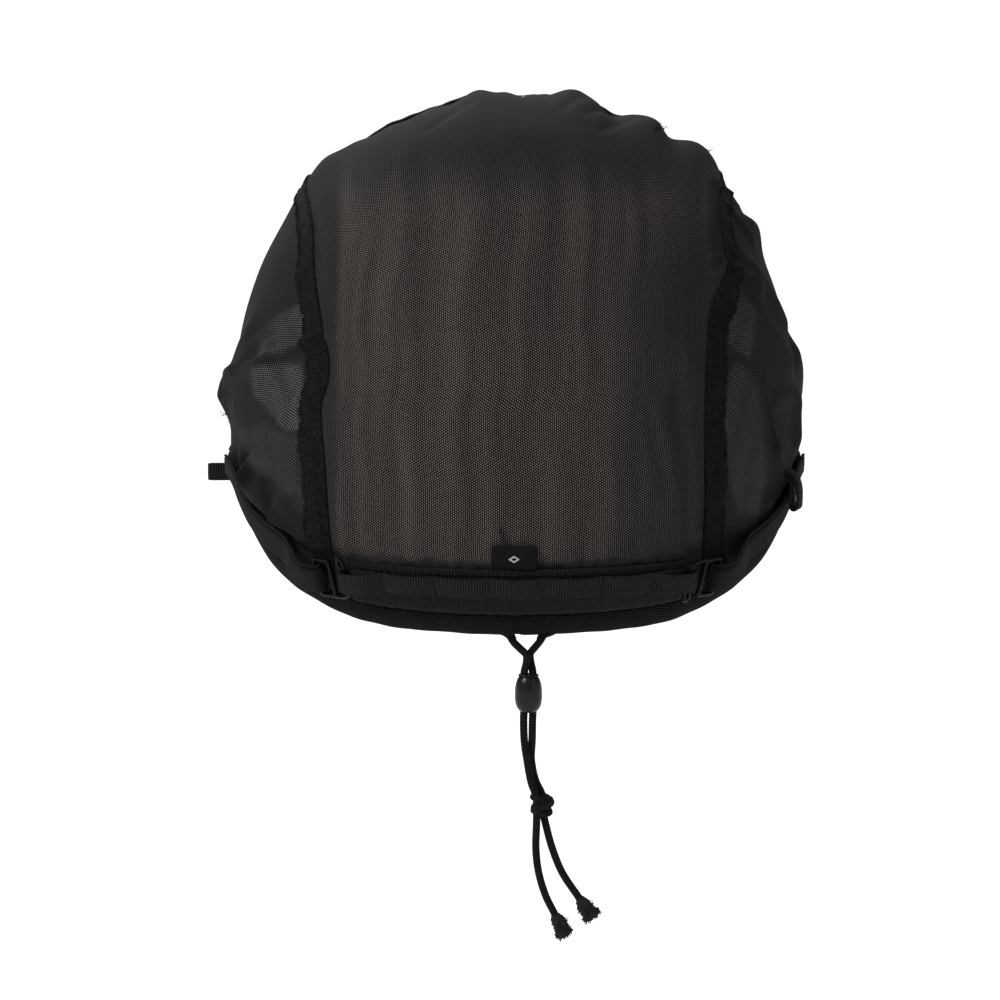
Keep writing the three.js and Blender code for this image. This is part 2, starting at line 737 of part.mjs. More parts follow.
// Loop strip: tacked to the nape ribbon at even places, its end loops round the hooks' arms
function makeLoopStrip() {
  const halfSpan = ((tackCount - 1) * tackPitch) / 2;
  const armOffset = hookOffset - onForm(hookArmReach);
  const tuck = 1.5;
  const endRun = (side) => {
    const arm = middle + side * armOffset;
    const tack = middle + side * halfSpan;
    return [
      [tack + side * tuck, upperLayer],
      [mix(tack, arm, 0.6), innerTurn],
      [arm - side * ribbonWall, innerTurn],
      ...turnPath(arm, side, true),
      [arm - side * ribbonWall, outerTurn],
      [mix(tack, arm, 0.45), outerTurn - clearance],
      [tack + side * tuck, upperLayer + ribbonWall + clearance],
    ];
  };
  const first = endRun(-1);
  const last = endRun(1).reverse();
  const humps = [];
  for (let tack = 0; tack < tackCount - 1; tack += 1) {
    const start = middle - halfSpan + tack * tackPitch;
    for (const share of [0.08, 0.3, 0.7, 0.92]) {
      const raised = share > 0.2 && share < 0.8 ? loopRise : 0;
      humps.push([start + share * tackPitch, upperLayer + raised]);
    }
  }
  const geometry = ribbonSolid({
    line: levelLine,
    path: [...first, ...humps, ...last],
    width: () => loopWidth,
    wall: ribbonWall,
    columns: 1,
  });
  addPiece("loop_strip", geometry, ribbonMaterial);
}

// Straps: from the fold round the hook's frame to the ear, over the casing
const strapRise = smoothColumn(strapTable, "azimuth", "rise");
const strapShare = smoothColumn(strapTable, "azimuth", "width");

// The strap lies level with the loops at the hook and then follows its table.
function strapCentreFall(azimuth) {
  const reach = Math.abs(azimuth);
  const followed = edgeFall(reach) - strapRise(reach) * strapWidth;
  return mix(loopCentreFall, followed, fade((reach - strapLevelAzimuth) / strapLevelBlend));
}

function strapTopFall(azimuth) {
  const reach = Math.max(Math.abs(azimuth), strapTable[0].azimuth);
  return strapCentreFall(reach) - (strapShare(reach) * strapWidth) / 2;
}

function azimuthOf(point) {
  const across = signedPower(Math.abs(point.x) / headHalfWidth, squareness / 2);
  const reach = point.y > 0 ? headBackReach : headFrontReach;
  const along = signedPower(point.y / reach, squareness / 2);
  return THREE.MathUtils.radToDeg(Math.atan2(across, along));
}

function makeStrap(name, side) {
  const line = measuredLine(strapCentreFall, 0, side * strapEndAzimuth);
  const bar = hookOffset + onForm(hookFrameWidth - hookBar);
  const run = line.length - bar;
  const path = [
    [bar + strapFoldBack, innerTurn],
    [bar + strapFoldBack / 2, innerTurn],
    ...turnPath(bar, -1, true),
    [bar + strapFoldBack / 2, outerTurn],
    [bar + strapFoldBack, outerTurn - clearance],
  ];
  const steps = 12;
  for (let step = 1; step <= steps; step += 1) {
    const distance = bar + strapFoldBack + ((run - strapFoldBack) * step) / steps;
    const settled = fade((distance - bar - strapFoldBack) / strapSettle);
    path.push([distance, mix(outerTurn - clearance, strapLayer, settled)]);
  }
  const widthAt = (distance) => strapShare(azimuthOf(line.frameAt(distance).point)) * strapWidth;
  addPiece(name, ribbonSolid({ line, path, width: widthAt, wall: strapWall, columns: 2 }), strapMaterial);
}

// Hook: a closed frame for the strap and an open arm that ends in a curl
function hookGeometry() {
  const halfHeight = hookFrameHeight / 2;
  const corner = 0.7 * hookBar;
  const frame = new THREE.Shape();
  const left = -hookBar / 2;
  const right = hookFrameWidth - hookBar / 2;
  frame.moveTo(left + corner, -halfHeight);
  frame.lineTo(right - corner, -halfHeight);
  frame.lineTo(right, -halfHeight + corner);
  frame.lineTo(right, halfHeight - corner);
  frame.lineTo(right - corner, halfHeight);
  frame.lineTo(left + corner, halfHeight);
  frame.lineTo(left, halfHeight - corner);
  frame.lineTo(left, -halfHeight + corner);
  const slot = new THREE.Path();
  slot.moveTo(left + hookBar, -halfHeight + hookBar);
  slot.lineTo(left + hookBar, halfHeight - hookBar);
  slot.lineTo(right - hookBar, halfHeight - hookBar);
  slot.lineTo(right - hookBar, -halfHeight + hookBar);
  frame.holes.push(slot);
  const plate = new THREE.ExtrudeGeometry(frame, { depth: hookWall, bevelEnabled: false });
  plate.translate(0, 0, -hookWall / 2);
  const section = new THREE.Shape();
  for (let i = 0; i < 6; i += 1) {
    const angle = (2 * Math.PI * i) / 6 + Math.PI / 6;
    const place = [(hookBar / 2) * Math.cos(angle), (hookBar / 2) * Math.sin(angle)];
    if (i === 0) section.moveTo(...place);
    else section.lineTo(...place);
  }
  const reach = hookArmReach;
  const route = new THREE.CatmullRomCurve3([
    new THREE.Vector3(0, halfHeight - hookBar, 0),
    new THREE.Vector3(-reach * 0.35, halfHeight - hookBar * 0.75, 0),
    new THREE.Vector3(-reach * 0.8, hookArmRise - 0.2, 0),
    new THREE.Vector3(-reach, hookArmRise - 1.6, 0),
    new THREE.Vector3(-reach, 0, 0),
    new THREE.Vector3(-reach, -hookArmDrop + hookCurl, 0),
    new THREE.Vector3(-reach + 0.15 * hookCurl, -hookArmDrop + 0.35 * hookCurl, 0),
    new THREE.Vector3(-reach + 0.5 * hookCurl, -hookArmDrop, 0),
    new THREE.Vector3(-reach + hookCurl, -hookArmDrop + 0.55 * hookCurl, 0),
    new THREE.Vector3(-reach + hookCurl, -hookArmDrop + 1.6 * hookCurl, 0),
  ]);
  const arm = new THREE.ExtrudeGeometry(section, { steps: 18, extrudePath: route, bevelEnabled: false });
  return geometryOf(solidOf(plate).add(solidOf(arm)));
}

function makeHook(name, side) {
  const frame = levelLine.frameAt(middle - side * hookOffset);
  const across = frame.along.clone().multiplyScalar(-side);
  const out = frame.out;
  const up = out.clone().cross(across).normalize();
  const basis = new THREE.Matrix4().makeBasis(across, up, across.clone().cross(up));
  const geometry = hookGeometry();
  const mesh = addPiece(name, geometry, hookMaterial);
  mesh.applyMatrix4(basis);
  mesh.position.copy(frame.point.clone().addScaledVector(out, hookLift - hookSettle));
}

// Size label: a folded ribbon end on the net just above the nape ribbon
function makeLabel() {
  const centreFall = ribbonTop() - clearance - labelHeight / 2;
  const line = measuredLine(() => centreFall, labelAzimuth, -labelAzimuth);
  const steps = 4;
  const path = [];
  for (let step = 0; step <= steps; step += 1) {
    const distance = line.length / 2 - labelAside + (step / steps - 0.5) * labelWidth;
    path.push([distance, netWall + layerGap + ribbonWall / 2]);
  }
  const geometry = ribbonSolid({ line, path, width: () => labelHeight, wall: ribbonWall, columns: 2 });
  addPiece("size_label", geometry, labelMaterial);
}

// A small loop of ribbon from a path in the plane of two directions, its width along the third
function smallLoop(root, first, second, widthDirection, path) {
  const normals = path.map((_, i) => {
    const before = path[Math.max(i - 1, 0)];
    const after = path[Math.min(i + 1, path.length - 1)];
    const slope = new THREE.Vector2(after[0] - before[0], after[1] - before[1]).normalize();
    return new THREE.Vector2(-slope.y, slope.x);
  });
  return wallSolid(path.length - 1, 1, (u, v, face) => {
    const i = Math.round(u * (path.length - 1));
    const offset = (face - 0.5) * earLoopWall;
    return root
      .clone()
      .addScaledVector(first, path[i][0] + normals[i].x * offset)
      .addScaledVector(second, path[i][1] + normals[i].y * offset)
      .addScaledVector(widthDirection, (0.5 - v) * earLoopWidth);
  });
}

function makeEarLoops() {
  const turnSteps = 6;
  const lift = hemWall + layerGap;
  const leftRoot = onHead(leftLoopAzimuth, edgeFall(leftLoopAzimuth) - hemHeight / 2 + leftLoopDrop, lift);
  const outward = headNormal(leftRoot).setZ(0).normalize();
  const upward = new THREE.Vector3(0, 0, 1);
  const backward = outward.clone().cross(upward).normalize();
  const straight = [[0, -earLoopTurn]];
  for (let step = 0; step <= turnSteps; step += 1) {
    const angle = -Math.PI / 2 + (Math.PI * step) / turnSteps;
    straight.push([earLoopReach + earLoopTurn * Math.cos(angle), earLoopTurn * Math.sin(angle)]);
  }
  straight.push([0, earLoopTurn]);
  addPiece("ear_loop_left", smallLoop(leftRoot, outward, backward, upward, straight), ribbonMaterial);

  const rightFall = edgeFall(rightLoopAzimuth) - rightLoopRise;
  const rightRoot = onHead(-rightLoopAzimuth, rightFall, netWall + layerGap + earLoopWall / 2);
  const rightOut = headNormal(rightRoot).setZ(0).normalize();
  const downward = new THREE.Vector3(0, 0, -1);
  const sideways = rightOut.clone().cross(downward).normalize();
  const turnDrop = hangingLoopDrop - hangingLoopTurn - earLoopWall / 2;
  const overStrap = strapLayer + strapWall / 2 - netWall;
  const hanging = [[0, 0], [overStrap * 0.95, turnDrop * 0.3], [overStrap, turnDrop * 0.6]];
  for (let step = 0; step <= turnSteps; step += 1) {
    const angle = Math.PI - (Math.PI * step) / turnSteps;
    hanging.push([
      overStrap + hangingLoopTurn * (1 + Math.cos(angle)),
      turnDrop + hangingLoopTurn * Math.sin(angle),
    ]);
  }
  const outerRun = overStrap + 2 * hangingLoopTurn;
  hanging.push([outerRun, turnDrop * 0.5], [outerRun * 0.8, turnDrop * 0.22], [earLoopWall + clearance, 0]);
  addPiece("ear_loop_right", smallLoop(rightRoot, rightOut, downward, sideways, hanging), ribbonMaterial);
}

// Drawstring ends, their lock and knots
const cordRoot = onHead(0, hemFall);

function cordCurve(route) {
  const places = route.map(({ across, out, drop }) => new THREE.Vector3(across, out, -drop).add(cordRoot));
  return new THREE.CatmullRomCurve3(places);
}

function makeCord(name, route) {
  const section = new THREE.Shape();
  section.absarc(0, 0, cordDiameter / 2, 0, 2 * Math.PI, false);
  const geometry = new THREE.ExtrudeGeometry(section, {
    curveSegments: cordSides / 2,
    steps: Math.round(cordCurve(route).getLength() / (2.2 * cordDiameter)),
    extrudePath: cordCurve(route),
    bevelEnabled: false,
  });
  addPiece(name, geometryOf(solidOf(geometry)), cordMaterial);
}

// Where both cords pass at a drop below the hem: the middle between them, the space and the turn
function cordPair(drop) {
  const height = cordRoot.z - drop;
  const places = [leftCordRoute, rightCordRoute].map((route) => {
    const curve = cordCurve(route);
    let best = curve.getPointAt(0);
    for (let step = 0; step <= 400; step += 1) {
      const point = curve.getPointAt(step / 400);
      if (Math.abs(point.z - height) < Math.abs(best.z - height)) best = point;
    }
    return best;
  });
  const middlePoint = places[0].clone().add(places[1]).multiplyScalar(0.5);
  const between = places[1].clone().sub(places[0]);
  return { middlePoint, apart: between.length(), turn: Math.atan2(between.y, between.x) };
}

const roundedProfile = [
  { along: 0.5, radius: 0.62 },
  { along: 0.44, radius: 0.8 },
  { along: 0.25, radius: 0.96 },
  { along: -0.05, radius: 1 },
  { along: -0.3, radius: 0.96 },
  { along: -0.45, radius: 0.78 },
  { along: -0.5, radius: 0.6 },
];
const lumpyProfile = [
  { along: 0.5, radius: 0.7 },
  { along: 0.4, radius: 0.9 },
  { along: 0.18, radius: 1 },
  { along: 0, radius: 0.88 },
  { along: -0.18, radius: 1 },
  { along: -0.4, radius: 0.9 },
  { along: -0.5, radius: 0.7 },
];
const endProfile = [
  { along: 0.5, radius: 0.5 },
  { along: 0.38, radius: 0.86 },
  { along: 0.16, radius: 1 },
  { along: -0.1, radius: 0.84 },
  { along: -0.3, radius: 0.95 },
  { along: -0.5, radius: 0.55 },
];

// A body turned about its own length, which runs along Z
function turnedBody(profile, width, height, sides) {
  const points = profile.map((row) => new THREE.Vector2((row.radius * width) / 2, row.along * height));
  const closed = [new THREE.Vector2(0, points[0].y), ...points, new THREE.Vector2(0, points.at(-1).y)];
  const geometry = new THREE.LatheGeometry(closed.reverse(), sides);
  return geometry.rotateX(Math.PI / 2);
}

// Slot for both cords, which lie side by side in the pair's own direction
function cordSlot({ apart, turn }, height) {
  const radius = cordDiameter / 2 + layerGap;
  const slot = new THREE.Shape();
  slot.absarc(apart / 2, 0, radius, -Math.PI / 2, Math.PI / 2, false);
  slot.absarc(-apart / 2, 0, radius, Math.PI / 2, (3 * Math.PI) / 2, false);
  const geometry = new THREE.ExtrudeGeometry(slot, {
    curveSegments: cordSides / 2,
    depth: 2 * height,
    bevelEnabled: false,
  });
  return geometry.translate(0, 0, -height).rotateZ(turn);
}

function makeThreaded(name, profile, drop, width, height, pieceMaterial, aside = 0) {
  const pair = cordPair(drop);
  const body = turnedBody(profile, width, height, 12).translate(aside, 0, 0);
  const drilled = solidOf(body).subtract(solidOf(cordSlot(pair, height)));
  const mesh = addPiece(name, geometryOf(drilled), pieceMaterial);
  mesh.position.copy(pair.middlePoint);
}

function makeEndKnot(name, route) {
  const curve = cordCurve(route);
  const direction = curve.getTangentAt(1);
  const body = turnedBody(endProfile, endKnotWidth, endKnotLength, 8);
  const mesh = addPiece(name, body, cordMaterial);
  mesh.quaternion.setFromUnitVectors(new THREE.Vector3(0, 0, -1), direction);
  mesh.position.copy(curve.getPointAt(1).addScaledVector(direction, endKnotLength / 2 + clearance));
}

makeCentrePanel();
makeSidePanel("side_panel_left", leftSeam, leftFolds);
makeSidePanel("side_panel_right", rightSeam, rightFolds);
makeSeamTape("seam_tape_left", leftSeam);
makeSeamTape("seam_tape_right", rightSeam);
makeCrownSeam();
makeEdges();
makeNapeRibbon();
makeLoopStrip();
makeStrap("strap_left", 1);
makeStrap("strap_right", -1);
makeHook("hook_left", 1);
makeHook("hook_right", -1);
makeLabel();
makeEarLoops();
makeCord("cord_left", leftCordRoute);
makeCord("cord_right", rightCordRoute);
makeThreaded("cord_lock", roundedProfile, lockDrop, lockWidth, lockHeight, lockMaterial);
makeThreaded("cord_knot", lumpyProfile, knotDrop, knotWidth, knotHeight, cordMaterial, knotAside);
makeEndKnot("cord_end_left", leftCordRoute);
makeEndKnot("cord_end_right", rightCordRoute);

export default cap;
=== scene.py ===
"""Looks of a net wig cap as worn: see-through net panels, seams, ribbed hem, hooked strap, label and cords.

Lengths are in millimetres until a mesh is made. An azimuth is in degrees from the nape, and a fall is the
distance below the crown.
"""

import bpy
import numpy as np
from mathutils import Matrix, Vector
from mathutils.bvhtree import BVHTree


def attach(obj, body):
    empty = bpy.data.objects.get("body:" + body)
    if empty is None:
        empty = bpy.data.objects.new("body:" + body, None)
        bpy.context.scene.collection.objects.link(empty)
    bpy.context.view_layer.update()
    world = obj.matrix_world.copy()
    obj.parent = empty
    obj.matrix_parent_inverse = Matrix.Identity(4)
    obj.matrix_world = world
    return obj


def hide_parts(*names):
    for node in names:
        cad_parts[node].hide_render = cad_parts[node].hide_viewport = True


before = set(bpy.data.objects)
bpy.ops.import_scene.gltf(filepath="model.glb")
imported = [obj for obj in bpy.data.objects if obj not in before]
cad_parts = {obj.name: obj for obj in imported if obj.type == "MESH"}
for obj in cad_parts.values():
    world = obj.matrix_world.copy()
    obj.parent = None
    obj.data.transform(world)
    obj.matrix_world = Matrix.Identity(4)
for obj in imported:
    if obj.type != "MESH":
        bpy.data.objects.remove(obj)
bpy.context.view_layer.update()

MM = 0.001
rng = np.random.default_rng(11)

# Form under the cap, as the solids have it
HALF_WIDTH, BACK_REACH, FRONT_REACH = 80.0, 98.0, 96.0
CROWN_HEIGHT, NAPE_DEPTH, SQUARENESS = 97.0, 74.0, 2.2
FORM_CENTRE = np.array([0.0, 0.0, -CROWN_HEIGHT])

# Sizes of the sewn pieces
CLEARANCE, LAYER_GAP = 0.3, 0.45
HEM_FALL, HEM_HEIGHT, BINDING_HEIGHT = 136.2, 6.6, 7.0
SEAM_HALF_SPACING = 52.0
CROWN_SEAM_PLACE, CROWN_SEAM_REACH = -32.0, 0.96
RIBBON_WIDTH, RIBBON_REACH = 12.5, 47.5
LOOP_WIDTH, TACK_COUNT, TACK_PITCH, LOOP_RISE, LOOP_RAISE = 5.8, 6, 14.4, 1.3, 2.4
STRAP_WIDTH, STRAP_END = 9.5, 80.0
CASING_END, BEHIND_EAR, TEMPLE = 84.0, 62.0, 132.0
HOOK_OFFSET, HOOK_WALL, HOOK_BAR, HOOK_SETTLE = 50.6, 1.3, 1.2, 0.12
HOOK_WIDTH, HOOK_HEIGHT, HOOK_REACH = 6.3, 11.8, 5.1
HOOK_DROP, HOOK_RISE, HOOK_CURL = 6.4, 4.4, 1.6
UPPER_LAYER = 1 + 2 * LAYER_GAP + 1.5
STRAP_LAYER = 1.7 + LAYER_GAP + 0.5
TURN_RADIUS = HOOK_WALL / 2 + LAYER_GAP + 0.5
HOOK_LIFT = UPPER_LAYER + TURN_RADIUS
OUTER_TURN = HOOK_LIFT + TURN_RADIUS
CORD_DIAMETER = 2.1
LABEL_ASIDE, LABEL_WIDTH, LABEL_HALF_LENGTH = 1.0, 6.4, 5.9
STITCH_RADIUS, EAR_LOOP_WIDTH = 0.14, 4.8
NET_COLUMN, NET_ROW = 0.57, 0.69
LOCK_DROP, LOCK_WIDTH, LOCK_HEIGHT = 16.6, 7.4, 10.2
KNOT_DROP, KNOT_ASIDE = 47.4, -0.6

# Camera of the photograph
CAMERA_PLACE = np.array([14.42, 1266.83, 101.26])
CAMERA_AZIMUTH, CAMERA_ELEVATION = 179.527, 9.679
FOCAL_PIXELS, SENSOR_WIDTH, FRAME_PIXELS = 4472.4, 36.0, 1000.0
NEAREST_VIEW, FARTHEST_VIEW, VIEW_STEPS = 1050, 1450, 1601

EDGE_TABLE = [
    (0, 1), (15, 0.998), (30, 0.9925), (38, 0.981), (45, 0.963), (52, 0.939), (57, 0.917), (62, 0.883),
    (66, 0.841), (70, 0.797), (75, 0.772), (82, 0.768), (92, 0.775), (104, 0.778), (116, 0.75), (129, 0.68),
    (145, 0.61), (180, 0.565),
]
LEFT_SEAM = [
    (0, 0.93), (0.25, 1.05), (0.45, 1.1), (0.58, 1.06), (0.66, 1.04), (0.73, 0.99), (0.765, 0.955),
    (0.795, 1), (0.86, 0.985), (0.93, 0.965), (1, 0.93),
]
RIGHT_SEAM = [
    (0, 0.93), (0.25, 1.05), (0.45, 1.09), (0.56, 1.07), (0.64, 1.09), (0.7, 1), (0.8, 0.965),
    (0.9, 0.965), (1, 0.95),
]
STRAP_RISE = [
    (34, 1.25), (42, 1.27), (47, 1.34), (52, 1.32), (58, 1.22), (63, 1.0), (69, 0.68), (75, 0.47), (82, 0.4),
]
STRAP_SHARE = [
    (34, 0.86), (42, 0.9), (47, 1.0), (52, 0.95), (58, 0.83), (63, 0.72), (69, 0.62), (75, 0.56), (82, 0.54),
]

# Folds: azimuth and fall share at both ends, height and width shares
FOLD_HEIGHT, FOLD_WIDTH = 3.0, 7.0
LEFT_FOLDS = [
    (72, 0.46, 86, 0.6, 0.6, 0.8), (88, 0.62, 95, 0.635, 0.9, 0.8), (58, 0.51, 73, 0.57, 0.65, 0.7),
    (67, 0.74, 61, 0.78, 1, 0.9), (112, 0.3, 108, 0.6, 0.6, 1.1),
]
RIGHT_FOLDS = [
    (72, 0.2, 88, 0.27, 1, 0.9), (62, 0.29, 76, 0.44, 0.7, 0.75), (58, 0.39, 73, 0.51, 0.7, 0.75),
    (85, 0.53, 94, 0.63, 0.9, 0.8), (76, 0.62, 73, 0.69, 0.6, 0.8), (112, 0.3, 108, 0.6, 0.6, 1.1),
]
CENTRE_FOLDS = [
    (22, 0.55, 33, 0.4, 0.4, 0.6), (-30, 0.62, -27, 0.84, 0.5, 0.45), (-24, 0.68, -21, 0.84, 0.35, 0.4),
]
HILL_HEIGHT, HILL_WIDTH, HILL_REACH, HILL_PLACE = 2.4, 8.0, 24.0, -8.0
CROWN_HILLS = [
    (0.66, 1.1, 0.9), (0.42, -0.5, 1.8), (0.23, -0.45, 0.55), (0.12, 0.8, 1), (-0.225, 1.35, 0.95),
    (-0.35, -0.9, 0.45), (-0.47, 1.45, 0.7), (-0.54, -0.5, 0.4), (-0.64, 2.1, 0.8),
]

# Drawstring ends from the hem's lower edge at the nape: across, out and drop
LEFT_CORD = [
    (1.35, 0.2, 1.35), (1.2, 0.25, 2.4), (-0.6, 1, 4.2), (-2.4, 1.75, 6), (-2.4, 1.7, 8.2),
    (-1.9, 1.1, 10.4), (-1.8, 0.8, 12), (-1.8, 0.8, 16.6), (-1.8, 0.8, 21.4), (-1.7, 0.8, 24),
    (-1.9, 1.3, 30), (-2.6, 1.8, 34.8), (-3.2, 1.85, 38.5), (-3.9, 1.8, 41.6), (-4.8, 1.65, 44),
    (-5.25, 1.6, 45.6), (-5.25, 1.6, 49.4), (-5.2, 1.4, 53), (-5.05, 1, 59.7), (-5.8, 0.8, 66.3),
    (-7.7, 0.8, 72.8), (-10.2, 0.8, 78),
]
RIGHT_CORD = [
    (-6.3, 0.2, 1.35), (-6.1, 0.15, 2.4), (-4.8, -0.35, 4.2), (-3.5, -0.6, 6), (-3.6, -0.4, 8.2),
    (-4.1, 0.4, 10.4), (-4.2, 0.8, 12), (-4.2, 0.8, 16.6), (-4.2, 0.8, 21.4), (-4.1, 0.7, 24),
    (-4, 0.2, 30), (-3.8, -0.3, 34.8), (-4.3, -0.3, 38.5), (-5.2, -0.25, 41.6), (-6.4, -0.15, 44),
    (-6.95, -0.1, 45.6), (-6.95, -0.1, 49.4), (-7.7, 0.1, 53), (-9.5, 0.5, 59.7), (-12.2, 0.8, 66.4),
    (-16.8, 0.8, 73.5),
]


# Form under the cap
def powered(value, power):
    """A power that keeps the sign."""
    return np.sign(value) * np.abs(value) ** power


def form_radii(offset):
    """The form's half sizes in the eighth that each offset from its centre lies in."""
    back = np.where(offset[..., 1] > 0, BACK_REACH, FRONT_REACH)
    high = np.where(offset[..., 2] > 0, CROWN_HEIGHT, NAPE_DEPTH)
    return np.stack([np.full(back.shape, HALF_WIDTH), back, high], -1)


def unit(vectors):
    return vectors / np.linalg.norm(vectors, axis=-1, keepdims=True)


def head_normal(points):
    offset = points - FORM_CENTRE
    radii = form_radii(offset)
    return unit(powered(offset / radii, SQUARENESS - 1) / radii)


def onto_head(points, lift=0.0):
    """Points moved onto the form along lines from its centre, then raised by the lift."""
    offset = points - FORM_CENTRE
    total = ((np.abs(offset) / form_radii(offset)) ** SQUARENESS).sum(-1)
    seated = offset * (total ** (-1 / SQUARENESS))[..., None] + FORM_CENTRE
    return seated + head_normal(seated) * np.asarray(lift, float)[..., None]


def on_head(azimuth, fall, lift=0.0):
    """Points of the form at an azimuth and a fall, raised by the lift."""
    azimuth, fall, lift = np.broadcast_arrays(np.asarray(azimuth, float), fall, lift)
    angle = np.radians(azimuth)
    height = CROWN_HEIGHT - fall
    depth = np.where(height > 0, CROWN_HEIGHT, NAPE_DEPTH)
    shrink = (1 - (np.abs(height) / depth) ** SQUARENESS) ** (1 / SQUARENESS)
    reach = np.where(np.cos(angle) > 0, BACK_REACH, FRONT_REACH)
    x = shrink * HALF_WIDTH * powered(np.sin(angle), 2 / SQUARENESS)
    y = shrink * reach * powered(np.cos(angle), 2 / SQUARENESS)
    points = np.stack([x, y, -fall], -1)
    return points + head_normal(points) * lift[..., None]


def azimuth_of(points):
    across = powered(np.abs(points[..., 0]) / HALF_WIDTH, SQUARENESS / 2)
    reach = np.where(points[..., 1] > 0, BACK_REACH, FRONT_REACH)
    return np.degrees(np.arctan2(across, powered(points[..., 1] / reach, SQUARENESS / 2)))


def over_head(across, angle):
    """Points of the form on an arc from face to nape, at a distance from the middle."""
    across, angle = np.broadcast_arrays(np.asarray(across, float), np.asarray(angle, float))
    turn = np.radians(angle)
    shrink = (1 - (np.abs(across) / HALF_WIDTH) ** SQUARENESS) ** (1 / SQUARENESS)
    ray = np.stack([np.zeros_like(turn), -np.cos(turn), np.sin(turn)], -1) + FORM_CENTRE
    middle = onto_head(ray) - FORM_CENTRE
    return np.stack([across, middle[..., 1] * shrink, middle[..., 2] * shrink], -1) + FORM_CENTRE


def fade(value):
    """A soft step from 0 to 1."""
    value = np.clip(value, 0, 1)
    return value * value * (3 - 2 * value)


def mix(low, high, share):
    return low + (high - low) * share


def column(rows):
    """Smooth reading of a two-column table."""
    xs = np.array([row[0] for row in rows], float)
    ys = np.array([row[1] for row in rows], float)
    last = len(xs) - 1

    def read(at):
        at = np.clip(np.asarray(at, float), xs[0], xs[-1])
        i = np.clip(np.searchsorted(xs, at, side="right"), 1, last)
        t0, t1 = xs[i - 1], xs[i]
        before = np.where(i >= 2, i - 2, i)
        after = np.where(i < last, np.minimum(i + 1, last), i - 1)
        wp = 0.5 * (t1 - t0) / (t0 - xs[before])
        wn = 0.5 * (t1 - t0) / (xs[after] - t1)
        p = (at - t0) / (t1 - t0)
        p2, p3 = p * p, p * p * p
        return (
            (-wp * p3 + 2 * wp * p2 - wp * p) * ys[before]
            + ((1 + wp) * p3 + (-1.5 - 2 * wp) * p2 + (-0.5 + wp) * p + 1) * ys[i - 1]
            + ((-1 - wn) * p3 + (1.5 + wn) * p2 + 0.5 * p) * ys[i]
            + (wn * p3 - wn * p2) * ys[after]
        )

    return read


edge_share = column(EDGE_TABLE)
strap_rise = column(STRAP_RISE)
strap_share = column(STRAP_SHARE)


def turned_azimuth(azimuth):
    size = np.abs(azimuth)
    return np.where(size > 180, 360 - size, size)


def edge_fall(azimuth):
    return edge_share(turned_azimuth(azimuth)) * HEM_FALL


def net_edge_fall(azimuth):
    blend = fade((turned_azimuth(azimuth) - CASING_END + 4) / 8)
    return edge_fall(azimuth) - mix(HEM_HEIGHT, BINDING_HEIGHT, blend) - 2 * CLEARANCE


def azimuth_across(across, near, far):
    """The azimuth between two others where the net's edge is this far from the middle."""
    for _ in range(40):
        middle = (near + far) / 2
        if abs(on_head(middle, net_edge_fall(middle))[0]) < across:
            near = middle
        else:
            far = middle
    return (near + far) / 2


# Photograph's view: the place on the form that a pixel shows
def camera_axes():
    """Directions towards the camera, to its right and up."""
    turn, rise = np.radians(CAMERA_AZIMUTH), np.radians(CAMERA_ELEVATION)
    back = np.array([np.sin(turn) * np.cos(rise), -np.cos(turn) * np.cos(rise), np.sin(rise)])
    right = np.array([np.cos(turn), np.sin(turn), 0.0])
    return back, right, np.cross(back, right)


def seen(places, lift=1.0):
    """Points on the form, lifted, that the camera sees at these pixels."""
    back, right, up = camera_axes()
    out = []
    for x, y in np.atleast_2d(places):
        ray = unit(-back * FOCAL_PIXELS + right * (x - FRAME_PIXELS / 2) - up * (y - FRAME_PIXELS / 2))
        steps = CAMERA_PLACE + np.linspace(NEAREST_VIEW, FARTHEST_VIEW, VIEW_STEPS)[:, None] * ray
        offset = steps - FORM_CENTRE
        inside = ((np.abs(offset) / (form_radii(offset) + lift)) ** SQUARENESS).sum(-1)
        hit = int(np.argmax(inside < 1)) if (inside < 1).any() else int(np.argmin(inside))
        out.append(onto_head(steps[hit][None], lift)[0])
    return np.array(out)


# Meshes
def add_object(name, points, faces, material, uvs=None):
    """A smooth shaded piece from points in millimetres, on the part's root."""
    mesh = bpy.data.meshes.new(name)
    mesh.from_pydata((np.asarray(points) * MM).tolist(), [], faces)
    if uvs is not None:
        layer = mesh.uv_layers.new(name="UVMap")
        corner = np.empty(len(mesh.loops), dtype=np.int32)
        mesh.loops.foreach_get("vertex_index", corner)
        layer.data.foreach_set("uv", np.asarray(uvs, float)[corner].ravel())
    mesh.polygons.foreach_set("use_smooth", [True] * len(mesh.polygons))
    mesh.materials.append(material)
    mesh.update()
    piece = bpy.data.objects.new(name, mesh)
    bpy.context.scene.collection.objects.link(piece)
    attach(piece, "root")
    return piece


def grid_faces(rows, columns, wrap=False):
    faces = []
    across = columns if wrap else columns - 1
    for i in range(rows - 1):
        for j in range(across):
            k = (j + 1) % columns
            faces.append((i * columns + j, (i + 1) * columns + j, (i + 1) * columns + k, i * columns + k))
    return faces


def length_along(points):
    steps = np.linalg.norm(np.diff(points, axis=0), axis=-1)
    return np.concatenate([np.zeros((1,) + steps.shape[1:]), np.cumsum(steps, axis=0)])


